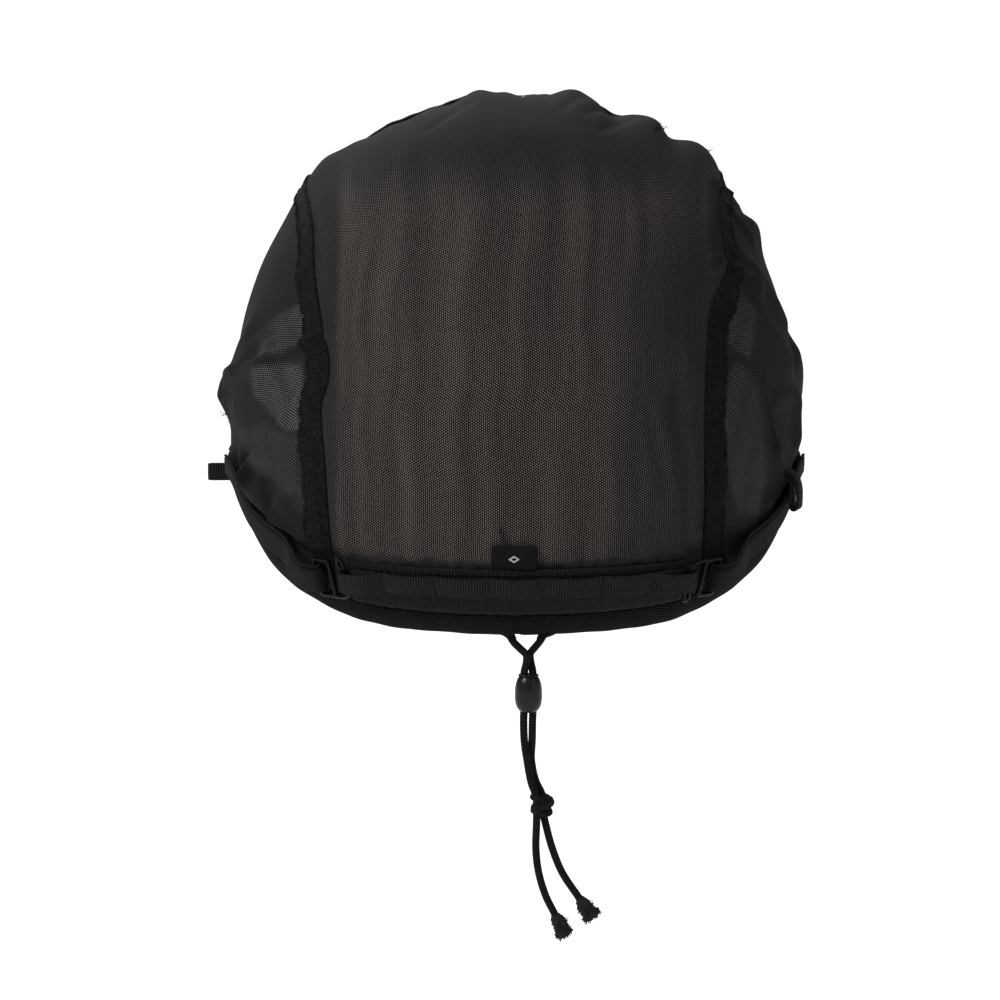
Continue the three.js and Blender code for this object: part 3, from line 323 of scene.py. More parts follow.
def sheet_mesh(name, points, material, shares):
    """A sheet from a grid of points, its map in millimetres along and across."""
    rows, columns = points.shape[:2]
    along = length_along(points)
    along = along.mean(1, keepdims=True) + 0 * along
    across = np.swapaxes(length_along(np.swapaxes(points, 0, 1)), 0, 1)
    across = across - across[:, -1:] / 2
    uvs = np.stack([across, along], -1).reshape(-1, 2)
    piece = add_object(name, points.reshape(-1, 3), grid_faces(rows, columns), material, uvs)
    for key, values in shares.items():
        layer = piece.data.attributes.new(key, "FLOAT", "POINT")
        layer.data.foreach_set("value", np.asarray(values, float).ravel())
    return piece


def rings_mesh(name, rings, material, uvs=None):
    """A closed body from rings of points."""
    rows, columns = rings.shape[:2]
    faces = grid_faces(rows, columns, wrap=True)
    faces.append(tuple(range(columns)))
    faces.append(tuple((rows - 1) * columns + j for j in reversed(range(columns))))
    if uvs is None:
        closed = np.concatenate([rings, rings[:, :1]], 1)
        around = np.swapaxes(length_along(np.swapaxes(closed, 0, 1)), 0, 1)[:, :-1]
        uvs = np.stack([length_along(rings).mean(1, keepdims=True) + 0 * around, around], -1)
    return add_object(name, rings.reshape(-1, 3), faces, material, uvs.reshape(-1, 2))


def centripetal(route, count):
    """Evenly spaced points on a smooth curve through a route."""
    p = np.array(route, float)
    p = np.vstack([2 * p[0] - p[1], p, 2 * p[-1] - p[-2]])
    out = []
    for i in range(1, len(p) - 2):
        d0, d1, d2 = (max(np.linalg.norm(p[i + k] - p[i + k - 1]) ** 0.5, 1e-4) for k in (0, 1, 2))
        m1 = d1 * ((p[i] - p[i - 1]) / d0 - (p[i + 1] - p[i - 1]) / (d0 + d1) + (p[i + 1] - p[i]) / d1)
        m2 = d1 * ((p[i + 1] - p[i]) / d1 - (p[i + 2] - p[i]) / (d1 + d2) + (p[i + 2] - p[i + 1]) / d2)
        t = np.linspace(0, 1, 24, endpoint=False)[:, None]
        h = 2 * t**3 - 3 * t**2
        out.append((h + 1) * p[i] - h * p[i + 1] + (t**3 - 2 * t**2 + t) * m1 + (t**3 - t**2) * m2)
    dense = np.vstack(out + [p[-2:-1]])
    return resampled(dense, count)


def resampled(dense, count):
    run = length_along(dense)
    at = np.linspace(0, run[-1], count)
    return np.stack([np.interp(at, run, dense[:, k]) for k in range(3)], -1)


def tube_rings(path, radius, sides, start=None):
    """Rings round a path; radius is a number or a function of run and angle."""
    path = np.asarray(path, float)
    tangent = unit(np.gradient(path, axis=0))
    side = np.cross(tangent[0], start if start is not None else [0.3, 0.2, 0.9])
    frames = [side / np.linalg.norm(side)]
    for i in range(1, len(path)):
        turned = frames[-1] - tangent[i] * (frames[-1] @ tangent[i])
        frames.append(turned / np.linalg.norm(turned))
    first = np.array(frames)
    second = np.cross(tangent, first)
    angle = np.linspace(0, 2 * np.pi, sides, endpoint=False)
    run = length_along(path)
    if callable(radius):
        size = radius(run[:, None], angle[None])
    else:
        size = np.full((len(path), sides), float(radius))
    direction = np.cos(angle)[None, :, None] * first[:, None] + np.sin(angle)[None, :, None] * second[:, None]
    return path[:, None] + size[..., None] * direction


def tubes_mesh(name, paths, radius, material, sides):
    """Many thin tubes as one piece, such as stitches or loose threads."""
    points, faces, uvs, base = [], [], [], 0
    for path in paths:
        rings = tube_rings(path, radius, sides)
        rows = len(rings)
        points.append(rings.reshape(-1, 3))
        run = length_along(np.asarray(path, float))
        around = np.arange(sides)[None] * 0.2
        uvs.append(np.stack(np.broadcast_arrays(run[:, None], around), -1).reshape(-1, 2))
        faces += [tuple(base + k for k in face) for face in grid_faces(rows, sides, wrap=True)]
        faces.append(tuple(base + j for j in range(sides)))
        faces.append(tuple(base + (rows - 1) * sides + j for j in reversed(range(sides))))
        base += rows * sides
    return add_object(name, np.vstack(points), faces, material, np.vstack(uvs))


# Materials
class Tree:
    """Short calls for adding and joining shader nodes."""

    def __init__(self, name):
        self.material = bpy.data.materials.new(name)
        self.material.use_nodes = True
        self.tree = self.material.node_tree
        self.tree.nodes.clear()
        self.output = self.tree.nodes.new("ShaderNodeOutputMaterial")

    def node(self, kind, **values):
        made = self.tree.nodes.new(kind)
        for key, value in values.items():
            setattr(made, key, value)
        return made

    def join(self, value, socket):
        if isinstance(value, bpy.types.NodeSocket):
            self.tree.links.new(value, socket)
        else:
            socket.default_value = value

    def math(self, operation, a, b=0.0, c=0.0):
        made = self.node("ShaderNodeMath", operation=operation)
        self.join(a, made.inputs[0])
        self.join(b, made.inputs[1])
        self.join(c, made.inputs[2])
        return made.outputs[0]

    def uv(self):
        made = self.node("ShaderNodeUVMap")
        made.uv_map = "UVMap"
        split = self.node("ShaderNodeSeparateXYZ")
        self.join(made.outputs[0], split.inputs[0])
        return made.outputs[0], split.outputs[0], split.outputs[1]

    def attribute(self, name):
        return self.node("ShaderNodeAttribute", attribute_name=name).outputs["Fac"]

    def noise(self, vector, scale, detail=2.0, rough=0.5):
        made = self.node("ShaderNodeTexNoise")
        self.join(vector, made.inputs["Vector"])
        made.inputs["Scale"].default_value = scale
        made.inputs["Detail"].default_value = detail
        made.inputs["Roughness"].default_value = rough
        return made.outputs[0]

    def place(self):
        return self.node("ShaderNodeTexCoord").outputs["Object"]

    def stretched(self, vector, across, along):
        made = self.node("ShaderNodeMapping")
        self.join(vector, made.inputs["Vector"])
        made.inputs["Scale"].default_value = (across, along, 1.0)
        return made.outputs[0]

    def blend(self, factor, low, high):
        made = self.node("ShaderNodeMix", data_type="RGBA")
        self.join(factor, made.inputs[0])
        self.join(low, made.inputs[6])
        self.join(high, made.inputs[7])
        return made.outputs[2]

    def bump(self, height, strength, depth):
        made = self.node("ShaderNodeBump")
        self.join(height, made.inputs["Height"])
        made.inputs["Strength"].default_value = strength
        made.inputs["Distance"].default_value = depth * MM
        return made.outputs[0]

    def surface(self, color, roughness, normal=None, specular=0.2, sheen=0.0):
        made = self.node("ShaderNodeBsdfPrincipled")
        self.join(color, made.inputs["Base Color"])
        self.join(roughness, made.inputs["Roughness"])
        made.inputs["Specular IOR Level"].default_value = specular
        made.inputs["Sheen Weight"].default_value = sheen
        made.inputs["Sheen Roughness"].default_value = 0.5
        if normal is not None:
            self.join(normal, made.inputs["Normal"])
        return made.outputs[0]

    def finish(self, shader):
        self.join(shader, self.output.inputs[0])
        return self.material


def grey(value, cool=0.1):
    """Black cloth with a little blue in it."""
    return (value, value * (1 - 0.25 * cool), value * (1 + cool), 1.0)


def net_material():
    """Knitted net: staggered holes that widen where the net is stretched, hazed by its fine threads."""
    t = Tree("knitted_net")
    vector, x, y = t.uv()
    distances = []
    for shift in (0.0, 0.5):
        fx = t.math("FRACT", t.math("ADD", t.math("DIVIDE", x, 2 * NET_COLUMN), shift + 100))
        fy = t.math("FRACT", t.math("ADD", t.math("DIVIDE", y, NET_ROW), shift + 100))
        dx = t.math("MULTIPLY", t.math("SUBTRACT", fx, 0.5), 2 * NET_COLUMN)
        dy = t.math("MULTIPLY", t.math("SUBTRACT", fy, 0.5), NET_ROW * 0.86)
        squares = t.math("ADD", t.math("MULTIPLY", dx, dx), t.math("MULTIPLY", dy, dy))
        distances.append(t.math("SQRT", squares))
    distance = t.math("MINIMUM", *distances)
    stretch = t.attribute("open")
    doubled_and_shaded = t.attribute("doubled_and_shaded")
    column_shade = t.noise(t.stretched(vector, 1.0, 0.06), 0.14, 3.0)
    wander = t.math("MULTIPLY_ADD", t.noise(vector, 1.3, 2.0), 0.07, -0.035)
    widen = t.math("MULTIPLY_ADD", column_shade, 0.12, -0.06)
    radius = t.math("ADD", t.math("MULTIPLY_ADD", stretch, 0.102, 0.09),
                    t.math("MULTIPLY", t.math("ADD", wander, widen), stretch))
    hole = t.math("MULTIPLY", t.math("SUBTRACT", radius, distance), 15.0)
    hole = t.math("MINIMUM", t.math("MAXIMUM", hole, 0.0), 1.0)
    grain = t.noise(vector, 1.6, 3.0, 0.8)
    # The closed net's threads are lighter than the open net's: partly the haze of their fuzz, partly painted
    # sheen.
    closed = t.blend(t.attribute("warm"), (0.0125, 0.0124, 0.0144, 1), (0.0172, 0.0169, 0.019, 1))
    thread = t.blend(stretch, closed, (0.0011, 0.0011, 0.0012, 1))
    thread = t.blend(t.math("MULTIPLY_ADD", grain, 1.6, -0.55), thread, (0.0022, 0.0022, 0.0026, 1))
    # Painted shade: threads darkened where the cloth lies double and in shaded pockets and folds.
    thread = t.blend(t.math("MULTIPLY", doubled_and_shaded, 0.8), thread, (0.0012, 0.0012, 0.0014, 1))
    cloth = t.surface(thread, 0.85, t.bump(distance, 0.35, 0.2), specular=0.06)
    warm = t.blend(t.attribute("warm"), (0.158, 0.155, 0.16, 1), (0.158, 0.135, 0.122, 1))
    dim = t.blend(t.noise(vector, 0.5, 2.0), t.blend(0.2, warm, (0, 0, 0, 1)), warm)
    inside = t.blend(stretch, (0.03, 0.03, 0.034, 1), dim)
    # Painted shade: the same bands darken what shows through the holes.
    inside = t.blend(t.math("MULTIPLY", doubled_and_shaded, 0.9), inside, (0.003, 0.003, 0.0034, 1))
    haze = t.surface(inside, 0.9, specular=0.0)
    clear = t.node("ShaderNodeBsdfTransparent")
    clear.inputs[0].default_value = (0.2, 0.17, 0.15, 1.0)
    see_through = t.node("ShaderNodeMixShader")
    see_through.inputs[0].default_value = 0.04
    t.join(haze, see_through.inputs[1])
    t.join(clear.outputs[0], see_through.inputs[2])
    mixed = t.node("ShaderNodeMixShader")
    t.join(hole, mixed.inputs[0])
    t.join(cloth, mixed.inputs[1])
    t.join(see_through.outputs[0], mixed.inputs[2])
    return t.finish(mixed.outputs[0])


def ribbed_material(
    name, value, pitch, along=True, twill=0.0, depth=0.12, specular=0.08, rough=0.8, contrast=0.8,
):
    """Woven or knitted trim with fine ribs across or along its length, painted lighter on the rib tops and
    darker between them as painted highlight and shade.
    """
    t = Tree(name)
    vector, x, y = t.uv()
    lead = x if along else y
    other = y if along else x
    phase = t.math("ADD", t.math("DIVIDE", lead, pitch), t.math("MULTIPLY", other, twill))
    wobble = t.math("MULTIPLY", t.noise(vector, 0.6, 2.0), 0.6)
    rib = t.math("SINE", t.math("MULTIPLY", t.math("ADD", phase, wobble), 2 * np.pi))
    cross = t.math("SINE", t.math("MULTIPLY", other, 2 * np.pi / (pitch * 0.8)))
    height = t.math("ADD", rib, t.math("MULTIPLY", cross, 0.35))
    fuzz = t.noise(vector, 2.2, 4.0, 0.75)
    # Painted highlight and shade: the colour follows the ribs, lighter on their tops and darker between them.
    share = t.math("ADD", t.math("MULTIPLY_ADD", rib, 0.45, 0.45), t.math("MULTIPLY_ADD", fuzz, 1.5, -0.75))
    worn = t.noise(vector, 0.12, 3.0)
    color = t.blend(share, grey(value * max(1 - contrast, 0.04)), grey(value * (1 + 1.2 * contrast)))
    color = t.blend(t.math("MULTIPLY", worn, 0.35), color, grey(value * 0.5))
    normal = t.bump(height, 0.6, depth)
    return t.finish(t.surface(color, rough, normal, specular=specular, sheen=0.01))


def fuzzy_material(name, value, depth, scale=2.0, specular=0.06):
    """Felted or overlocked thread."""
    t = Tree(name)
    place = t.place()
    coarse = t.noise(place, 700 * scale, 4.0, 0.75)
    share = t.math("MULTIPLY_ADD", coarse, 3.2, -1.2)
    color = t.blend(share, grey(value * 0.2), grey(value * 2.4))
    normal = t.bump(coarse, 0.9, depth)
    return t.finish(t.surface(color, 0.85, normal, specular=specular))


def plastic_material(name, value, rough, specular):
    """Moulded plastic with a faint grain and a slow change of gloss."""
    t = Tree(name)
    place = t.place()
    grain = t.noise(place, 1800, 3.0)
    haze = t.noise(place, 220, 2.0)
    color = t.blend(haze, grey(value * 0.85), grey(value * 1.2))
    roughness = t.math("MULTIPLY_ADD", haze, 0.15, rough)
    normal = t.bump(grain, 0.15, 0.03)
    return t.finish(t.surface(color, roughness, normal, specular=specular))


def thread_material(name, value):
    """Plied thread, painted lighter on its plies and darker between them as painted highlight and shade."""
    t = Tree(name)
    _, x, y = t.uv()
    ply = t.math("SINE", t.math("MULTIPLY", t.math("ADD", x, y), 14.0))
    # Painted highlight and shade: lighter on the plies, darker between them.
    color = t.blend(t.math("MULTIPLY_ADD", ply, 0.5, 0.5), grey(value * 0.6, 0.0), grey(value * 1.4, 0.0))
    return t.finish(t.surface(color, 0.7, t.bump(ply, 0.4, 0.05), specular=0.1))


def braid_material():
    """Braided cord: strands that wind both ways round it, painted lighter on top and darker between them as
    painted highlight and shade.
    """
    t = Tree("braided_cord")
    _, x, y = t.uv()
    first = t.math("SINE", t.math("MULTIPLY", t.math("ADD", x, y), 7.0))
    second = t.math("SINE", t.math("MULTIPLY", t.math("SUBTRACT", x, y), 7.0))
    height = t.math("MAXIMUM", first, second)
    # Painted highlight and shade: lighter on the strands, darker in the gaps between them.
    color = t.blend(t.math("MULTIPLY_ADD", height, 0.4, 0.5), grey(0.0018), grey(0.006))
    return t.finish(t.surface(color, 0.75, t.bump(height, 0.6, 0.12), specular=0.09))


NET = net_material()
TAPE = fuzzy_material("seam_tape_cloth", 0.0045, depth=0.3)
OVERLOCK = thread_material("overlock_thread", 0.0085)
HEM = ribbed_material(
    "hem_jersey", 0.0036, 0.85, along=False, twill=0.3, depth=0.2, specular=0.05, contrast=1.2,
)
RIBBON = ribbed_material("grosgrain_ribbon", 0.0075, 0.72, depth=0.35, contrast=1.3)
LOOP = ribbed_material("loop_ribbon", 0.0085, 0.72, depth=0.3, contrast=1.3)
STRAP = ribbed_material("elastic_strap", 0.0055, 0.6, twill=0.4, depth=0.12, specular=0.06, contrast=0.7)
HOOK = plastic_material("hook_plastic", 0.0014, 0.2, specular=0.08)
LOCK = plastic_material("lock_plastic", 0.0035, 0.26, specular=0.22)
LABEL = ribbed_material("label_ribbon", 0.005, 0.3, along=False, depth=0.06, specular=0.06, rough=0.7)
MARK = thread_material("label_mark_thread", 0.42)
BRAID = braid_material()
FRAY = thread_material("frayed_thread", 0.01)
PALE = thread_material("pale_thread", 0.55)
FRAYED = fuzzy_material("frayed_cord_end", 0.004, scale=3.0, depth=0.4, specular=0.3)

# Camera
back_axis, right_axis, up_axis = camera_axes()
camera_data = bpy.data.cameras.new("photo_camera")
camera_data.sensor_width = SENSOR_WIDTH
camera_data.lens = FOCAL_PIXELS * SENSOR_WIDTH / FRAME_PIXELS
camera_data.clip_start, camera_data.clip_end = 0.05, 100
camera = bpy.data.objects.new("photo_camera", camera_data)
camera.location = Vector(CAMERA_PLACE * MM)
camera.rotation_mode = "QUATERNION"
camera.rotation_quaternion = Vector(-back_axis).to_track_quat("-Z", "Y")
bpy.context.scene.collection.objects.link(camera)
bpy.context.scene.camera = camera


# A soft irregularity that several pieces share
def smooth_noise(points, size, seed):
    """A soft pattern in space from a few waves."""
    picks = np.random.default_rng(seed)
    total = np.zeros(points.shape[:-1])
    for _ in range(9):
        direction = unit(picks.normal(0, 1, 3))
        length = size * picks.uniform(0.7, 1.5)
        phase = picks.uniform(0, 6.3)
        total += np.sin(points @ direction * 2 * np.pi / length + phase)
    return total / 3


# Drawstring ends
cord_root = on_head(0.0, HEM_FALL)


def cord_path(route, count):
    """A curve through places given across, out and down from the middle of the hem's lower edge."""
    return centripetal([cord_root + np.array([across, out, -drop]) for across, out, drop in route], count)


def braided(run, angle):
    weave = np.cos(4 * angle + run * 3.6) * np.cos(4 * angle - run * 3.6)
    return CORD_DIAMETER / 2 * (0.96 + 0.05 * weave)


def make_cord(name, node, route):
    path = cord_path(route, 380)
    rings = tube_rings(path, braided, 16, start=[0, 1, 0.1])
    run = length_along(path)
    around = np.linspace(0, 2 * np.pi, 16, endpoint=False)
    uvs = np.stack(np.broadcast_arrays(run[:, None], around[None]), -1)
    cord = rings_mesh(name, rings, BRAID, uvs=uvs)
    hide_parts(node)
    return cord, path, float(run[-1])


BULB_START, BULB_LENGTH, BULB_RINGS, BULB_STRANDS, BULB_DEPTH = -0.5, 6.75, 50, 260, 0.85


def end_bulb(name, node, path, seed, spread_end):
    """A knotted, frayed end: a bell of melted and loose threads with a ragged lower edge."""
    picks = np.random.default_rng(seed)
    direction = unit(path[-1] - path[-6])
    side = unit(np.cross(direction, [0, 1, 0]))
    front = np.cross(direction, side)
    angle = np.linspace(0, 2 * np.pi, 56, endpoint=False)
    profile = column([(-0.5, 0.9), (0.3, 1.2), (1.5, 1.8), (3.0, 2.15), (4.6, 2.1), (5.8, 2.1 * spread_end),
                      (6.5, 1.9 * spread_end), (6.75, 1.3)])
    around = np.cos(angle)[:, None] * side + np.sin(angle)[:, None] * front * BULB_DEPTH
    rings = np.array([path[-1] + direction * along + float(profile(along)) * around
                      for along in np.linspace(BULB_START, BULB_LENGTH, BULB_RINGS)])
    rough = 0.22 * smooth_noise(rings, 2.0, seed) + 0.16 * smooth_noise(rings, 0.8, seed + 1)
    grow = np.linspace(0, 1, BULB_RINGS)[:, None, None] ** 0.6
    rings = rings + around * rough[..., None] * grow
    bulb = rings_mesh(name, rings, FRAYED)
    strands = []
    for _ in range(BULB_STRANDS):
        turn = picks.uniform(0, 2 * np.pi)
        low = picks.uniform() < 0.7
        start_at = picks.uniform(5.6, 6.6) if low else picks.uniform(2.0, 6.0)
        outward = np.cos(turn) * side + np.sin(turn) * front * BULB_DEPTH
        reach_out = float(profile(start_at)) * (picks.uniform(0.2, 1.0) if low else 1.0)
        root = path[-1] + direction * start_at + outward * reach_out
        lean = outward * picks.uniform(0.1, 0.9) + direction * picks.uniform(0.3, 1.2)
        lean = unit(lean + picks.normal(0, 0.4, 3))
        reach = picks.uniform(0.3, 1.0)
        bend = picks.normal(0, 0.3, 3)
        share = np.linspace(0, 1, 5)[:, None]
        strands.append(root + lean * reach * share + bend * share**2)
    tuft = tubes_mesh(name + "_strands", strands, 0.09, FRAY, sides=4)
    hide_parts(node)
    return bulb, tuft


cord_left, left_path, left_length = make_cord("cord_left_braid", "cord_left", LEFT_CORD)
cord_right, right_path, right_length = make_cord("cord_right_braid", "cord_right", RIGHT_CORD)
left_end = end_bulb("cord_left_knot", "cord_end_left", left_path, 3, 1.05)
right_end = end_bulb("cord_right_knot", "cord_end_right", right_path, 8, 1.25)


def between_cords(drop):
    """The middle between both cords at a drop below the hem."""
    height = cord_root[2] - drop
    return sum(path[np.argmin(np.abs(path[:, 2] - height))] for path in (left_path, right_path)) / 2


def make_lock():
    centre = between_cords(LOCK_DROP)
    angle = np.linspace(0, 2 * np.pi, 64, endpoint=False)
    profile = column([(-0.5, 0.5), (-0.485, 0.58), (-0.44, 0.72), (-0.34, 0.89), (-0.18, 0.985), (0.0, 1.0),
                      (0.14, 0.98), (0.3, 0.9), (0.4, 0.79), (0.46, 0.68), (0.49, 0.58), (0.5, 0.5)])
    rings = []
    for share in np.concatenate([[-0.5], -0.5 * np.cos(np.linspace(0.12, np.pi - 0.12, 40)), [0.5]]):
        size = float(profile(share)) * LOCK_WIDTH / 2
        rings.append(centre + np.stack([size * np.cos(angle), size * 0.94 * np.sin(angle),
                                        np.full(len(angle), share * LOCK_HEIGHT)], -1))
    body = rings_mesh("cord_lock_barrel", np.array(rings), LOCK)
    rim = []
    for height, radius in [(0.47, 2.35), (0.5, 2.4), (0.515, 2.3), (0.515, 1.9), (0.49, 1.8)]:
        rim.append(centre + np.stack([radius * 1.15 * np.cos(angle), radius * 0.8 * np.sin(angle),
                                      np.full(len(angle), height * LOCK_HEIGHT)], -1))
    plunger = rings_mesh("cord_lock_rim", np.array(rim), LOCK)
    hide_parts("cord_lock")
    return body, plunger


def make_knot():
    """Both cords turned round each other: stacked turns with one that crosses in front."""
    centre = between_cords(KNOT_DROP) + [KNOT_ASIDE, 0, 0]
    t = np.linspace(0, 2 * np.pi, 140)
    turns = []
    for height, wide, deep, tilt, aside in ((1.75, 2.0, 2.0, 0.35, 0.35), (-0.1, 2.25, 2.15, -0.75, -0.1),
                                            (-1.85, 2.05, 2.0, 0.2, 0.15)):
        turns.append(centre + np.stack([aside + wide * np.cos(t), deep * np.sin(t),
                                        height + tilt * np.cos(t) + 0.15 * np.sin(2 * t)], -1))
    half = np.linspace(0, 1, 80)
    sweep = np.pi * (0.02 + 0.96 * half)
    crossing = [2.15 * np.cos(sweep), 0.5 + 2.3 * np.sin(sweep), -1.5 * np.cos(sweep)]
    turns.append(centre + np.stack(crossing, -1))
    core = []
    angle = np.linspace(0, 2 * np.pi, 32, endpoint=False)
    for height, radius in [
        (2.75, 1.3), (2.2, 2.0), (1.0, 2.5), (0, 2.7), (-1.0, 2.5), (-2.2, 2.0), (-2.75, 1.3),
    ]:
        core.append(centre + np.stack([radius * np.cos(angle), radius * 0.95 * np.sin(angle),
                                       np.full(len(angle), height)], -1))
    inner = rings_mesh("cord_knot_core", np.array(core), BRAID)
    knot = tubes_mesh("cord_knot_turns", turns, braided, BRAID, 14)
    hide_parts("cord_knot")
    return knot, inner


def cord_mouth(name, places):
    """The casing's end, drawn down round the cord where it comes out."""
    path = cord_path(places, 40)
    length = length_along(path)[-1]

    def radius(run, angle):
        return mix(1.75, 1.12, fade(run / length)) * (1 + 0.05 * np.cos(5 * angle + run * 1.4))

    return rings_mesh(name, tube_rings(path, radius, 20, start=[0, 1, 0.1]), HEM)


cord_lock = make_lock()
cord_knot = make_knot()
cord_mouth("cord_mouth_left", [(5.5, -0.5, -1.6), (3.6, 0.0, -0.5), (2.0, 0.2, 0.7), (1.2, 0.25, 2.3)])
cord_mouth("cord_mouth_right", [(-10.5, -0.5, -1.5), (-8.6, 0.0, -0.4), (-7.0, 0.2, 0.7), (-6.1, 0.15, 2.3)])


# Seams
def seam_of(rows, side):
    """The line where the centre net meets a side net, from the face to the nape."""
    spacing = column(rows)
    nape = azimuth_across(float(spacing(1)) * SEAM_HALF_SPACING, 0, 85)
    front = azimuth_across(float(spacing(0)) * SEAM_HALF_SPACING, 180, 95)

    def angle_of(azimuth):
        point = on_head(azimuth, net_edge_fall(azimuth))
        return np.degrees(np.arctan2(point[2] + CROWN_HEIGHT, -point[1]))

    nape_angle = angle_of(nape)
    nape_angle = nape_angle + 360 if nape_angle < 0 else nape_angle
    along = np.linspace(0, 1, 41)
    rough = over_head(side * spacing(along) * SEAM_HALF_SPACING, mix(angle_of(front), nape_angle, along))
    dense = centripetal(rough, 1500)
    tangent = unit(np.gradient(dense, axis=0))
    return {"side": side, "nape": nape, "front": front, "dense": dense, "tangent": tangent}


def beside(seam, along, distance, lift=0.0):
    """Points beside a seam on the form, towards its side panel when the distance is positive."""
    at = np.asarray(along, float) * (len(seam["dense"]) - 1)
    index = np.arange(len(seam["dense"]))
    point = onto_head(np.stack([np.interp(at, index, seam["dense"][:, k]) for k in range(3)], -1))
    tangent = np.stack([np.interp(at, index, seam["tangent"][:, k]) for k in range(3)], -1)
    outward = unit(np.cross(tangent, head_normal(point))) * seam["side"]
    return onto_head(point + outward * np.asarray(distance, float)[..., None], lift)


left_seam = seam_of(LEFT_SEAM, 1)
right_seam = seam_of(RIGHT_SEAM, -1)


# Folds of the net
def placed(rows, side):
    """A side's folds as lines on the form, each with its height and width."""
    folds = []
    for first, first_fall, last, last_fall, height, width in rows:
        start = on_head(side * first, first_fall * HEM_FALL)
        end = on_head(side * last, last_fall * HEM_FALL)
        folds.append((start, end, height * FOLD_HEIGHT, width * FOLD_WIDTH))
    return folds


def segment_distance(points, start, end):
    """Distance from a line's stretch, and how far along it the nearest place is."""
    line = end - start
    share = np.clip(((points - start) @ line) / max(line @ line, 1e-9), 0, 1)
    return np.linalg.norm(points - start - share[..., None] * line, axis=-1), share


def ridge_lift(points, folds):
    """Rounded ridges along the folds."""
    total = np.zeros(points.shape[:-1])
    for start, end, height, width in folds:
        far, _ = segment_distance(points, start, end)
        total += height * np.exp(-((far / width) ** 2))
    return total


def hill_lift(points):
    """Wide hills and hollows across the crown."""
    along = np.exp(-(((points[..., 1] - HILL_PLACE) / HILL_REACH) ** 2))
    total = np.zeros(points.shape[:-1])
    for across, height, width in CROWN_HILLS:
        share = (points[..., 0] - across * HALF_WIDTH) / (width * HILL_WIDTH)
        total += height * HILL_HEIGHT * along * np.exp(-(share**2))
    return total


# Creases: both end pixels in the photograph, height and width in millimetres, wider at the second end
CREASES = [
    (712, 185, 740, 200, 1.4, 2.0), (725, 205, 750, 240, 1.2, 2.0), (712, 255, 755, 287, 1.6, 2.2),
    (716, 272, 748, 300, -0.6, 2.0), (283, 315, 240, 370, 1.2, 2.2), (240, 370, 229, 378, 1.0, 2.6),
    (325, 340, 262, 362, 0.9, 1.6), (300, 300, 262, 330, -0.5, 3.0),
    (360, 330, 370, 250, 0.7, 1.8), (352, 360, 360, 300, -0.4, 2.0), (344, 300, 352, 240, 0.4, 2.0),
    (655, 400, 668, 455, 0.8, 1.8), (668, 455, 676, 545, 0.7, 1.6), (682, 330, 690, 400, 0.7, 1.8),
    (640, 420, 655, 500, 0.5, 2.2), (684, 420, 690, 520, 0.7, 1.6), (674, 375, 684, 440, -0.5, 1.6),
    (600, 440, 618, 520, 0.35, 2.4), (630, 480, 640, 545, 0.4, 1.8), (270, 484, 276, 506, -0.9, 2.4),
    (340, 480, 352, 545, 0.6, 2.0), (366, 490, 368, 550, 0.4, 1.6), (392, 500, 388, 556, 0.35, 1.6),
    (585, 116, 618, 112, -0.7, 1.4), (430, 128, 468, 104, -0.6, 2.0), (560, 112, 592, 96, -0.6, 1.8),
    (602, 130, 645, 116, -0.7, 1.8), (740, 430, 772, 470, 0.6, 3.0), (775, 400, 800, 392, 0.8, 3.0),
    (752, 480, 772, 500, -0.7, 3.0), (222, 396, 250, 420, 0.9, 2.4), (236, 420, 262, 448, 0.7, 2.4),
    (296, 539, 318, 544, 0.8, 1.1), (306, 545, 340, 553, 0.9, 1.1), (318, 548, 346, 558, -0.5, 1.0),
    (690, 550, 722, 540, 0.8, 1.1), (716, 538, 745, 528, 0.7, 1.2), (690, 540, 700, 552, 0.5, 1.2),
    (485, 569, 530, 566, 0.7, 1.0), (640, 564, 672, 558, 0.7, 1.0), (350, 560, 400, 564, 0.7, 1.1),
    (410, 567, 470, 569, 0.6, 1.0), (560, 568, 630, 565, 0.6, 1.0), (690, 470, 700, 540, 0.6, 1.6),
]


crease_set = [
    (*seen([(first_x, first_y), (last_x, last_y)]), height, width)
    for first_x, first_y, last_x, last_y, height, width in CREASES
]


def crease_lift(points):
    total = np.zeros(points.shape[:-1])
    for start, end, height, width in crease_set:
        reach = np.linalg.norm(end - start) / 2 + 4 * width
        near = np.linalg.norm(points - (start + end) / 2, axis=-1) < reach
        if near.any():
            far, share = segment_distance(points[near], start, end)
            total[near] += height * np.exp(-((far / (width * (0.75 + 0.5 * share))) ** 2))
    return total


def gather_lift(points):
    """Small gathers above the nape ribbon and behind the crown seam."""
    fall = -points[..., 2]
    above = HEM_FALL - HEM_HEIGHT - RIBBON_WIDTH - fall
    nape = np.exp(-np.clip(above, 0, None) / 5.0) * (points[..., 1] > 40)
    waves = np.sin(points[..., 0] * 1.25 + 1.3 * np.sin(points[..., 0] * 0.31)) * 0.28 * nape
    crown = np.exp(-np.clip(points[..., 1] + 26, 0, None) / 26.0) * np.exp(-fall / 30.0)
    pleats = np.sin(points[..., 0] * 0.62 + 1.8 * np.sin(points[..., 0] * 0.13)) * 0.55 * crown
    return waves + pleats + 0.12 * smooth_noise(points, 26.0, 4)


# Puffed edges of the net: pixels along the line, height in millimetres, its edge and reach in pixels
PUFFS = [
    ([(266, 448), (259, 460), (256, 470), (250, 482), (248, 492), (252, 503), (264, 514), (278, 522)],
     2.6, 7, 40),
    ([(286, 476), (289, 490), (285, 503), (281, 512), (283, 524), (292, 534)], 1.7, 6, 26),
    ([(326, 336), (300, 346), (262, 361), (240, 371)], 1.1, 5, 16),
    ([(773, 452), (776, 470), (774, 490), (766, 506)], 1.5, 7, 30),
]

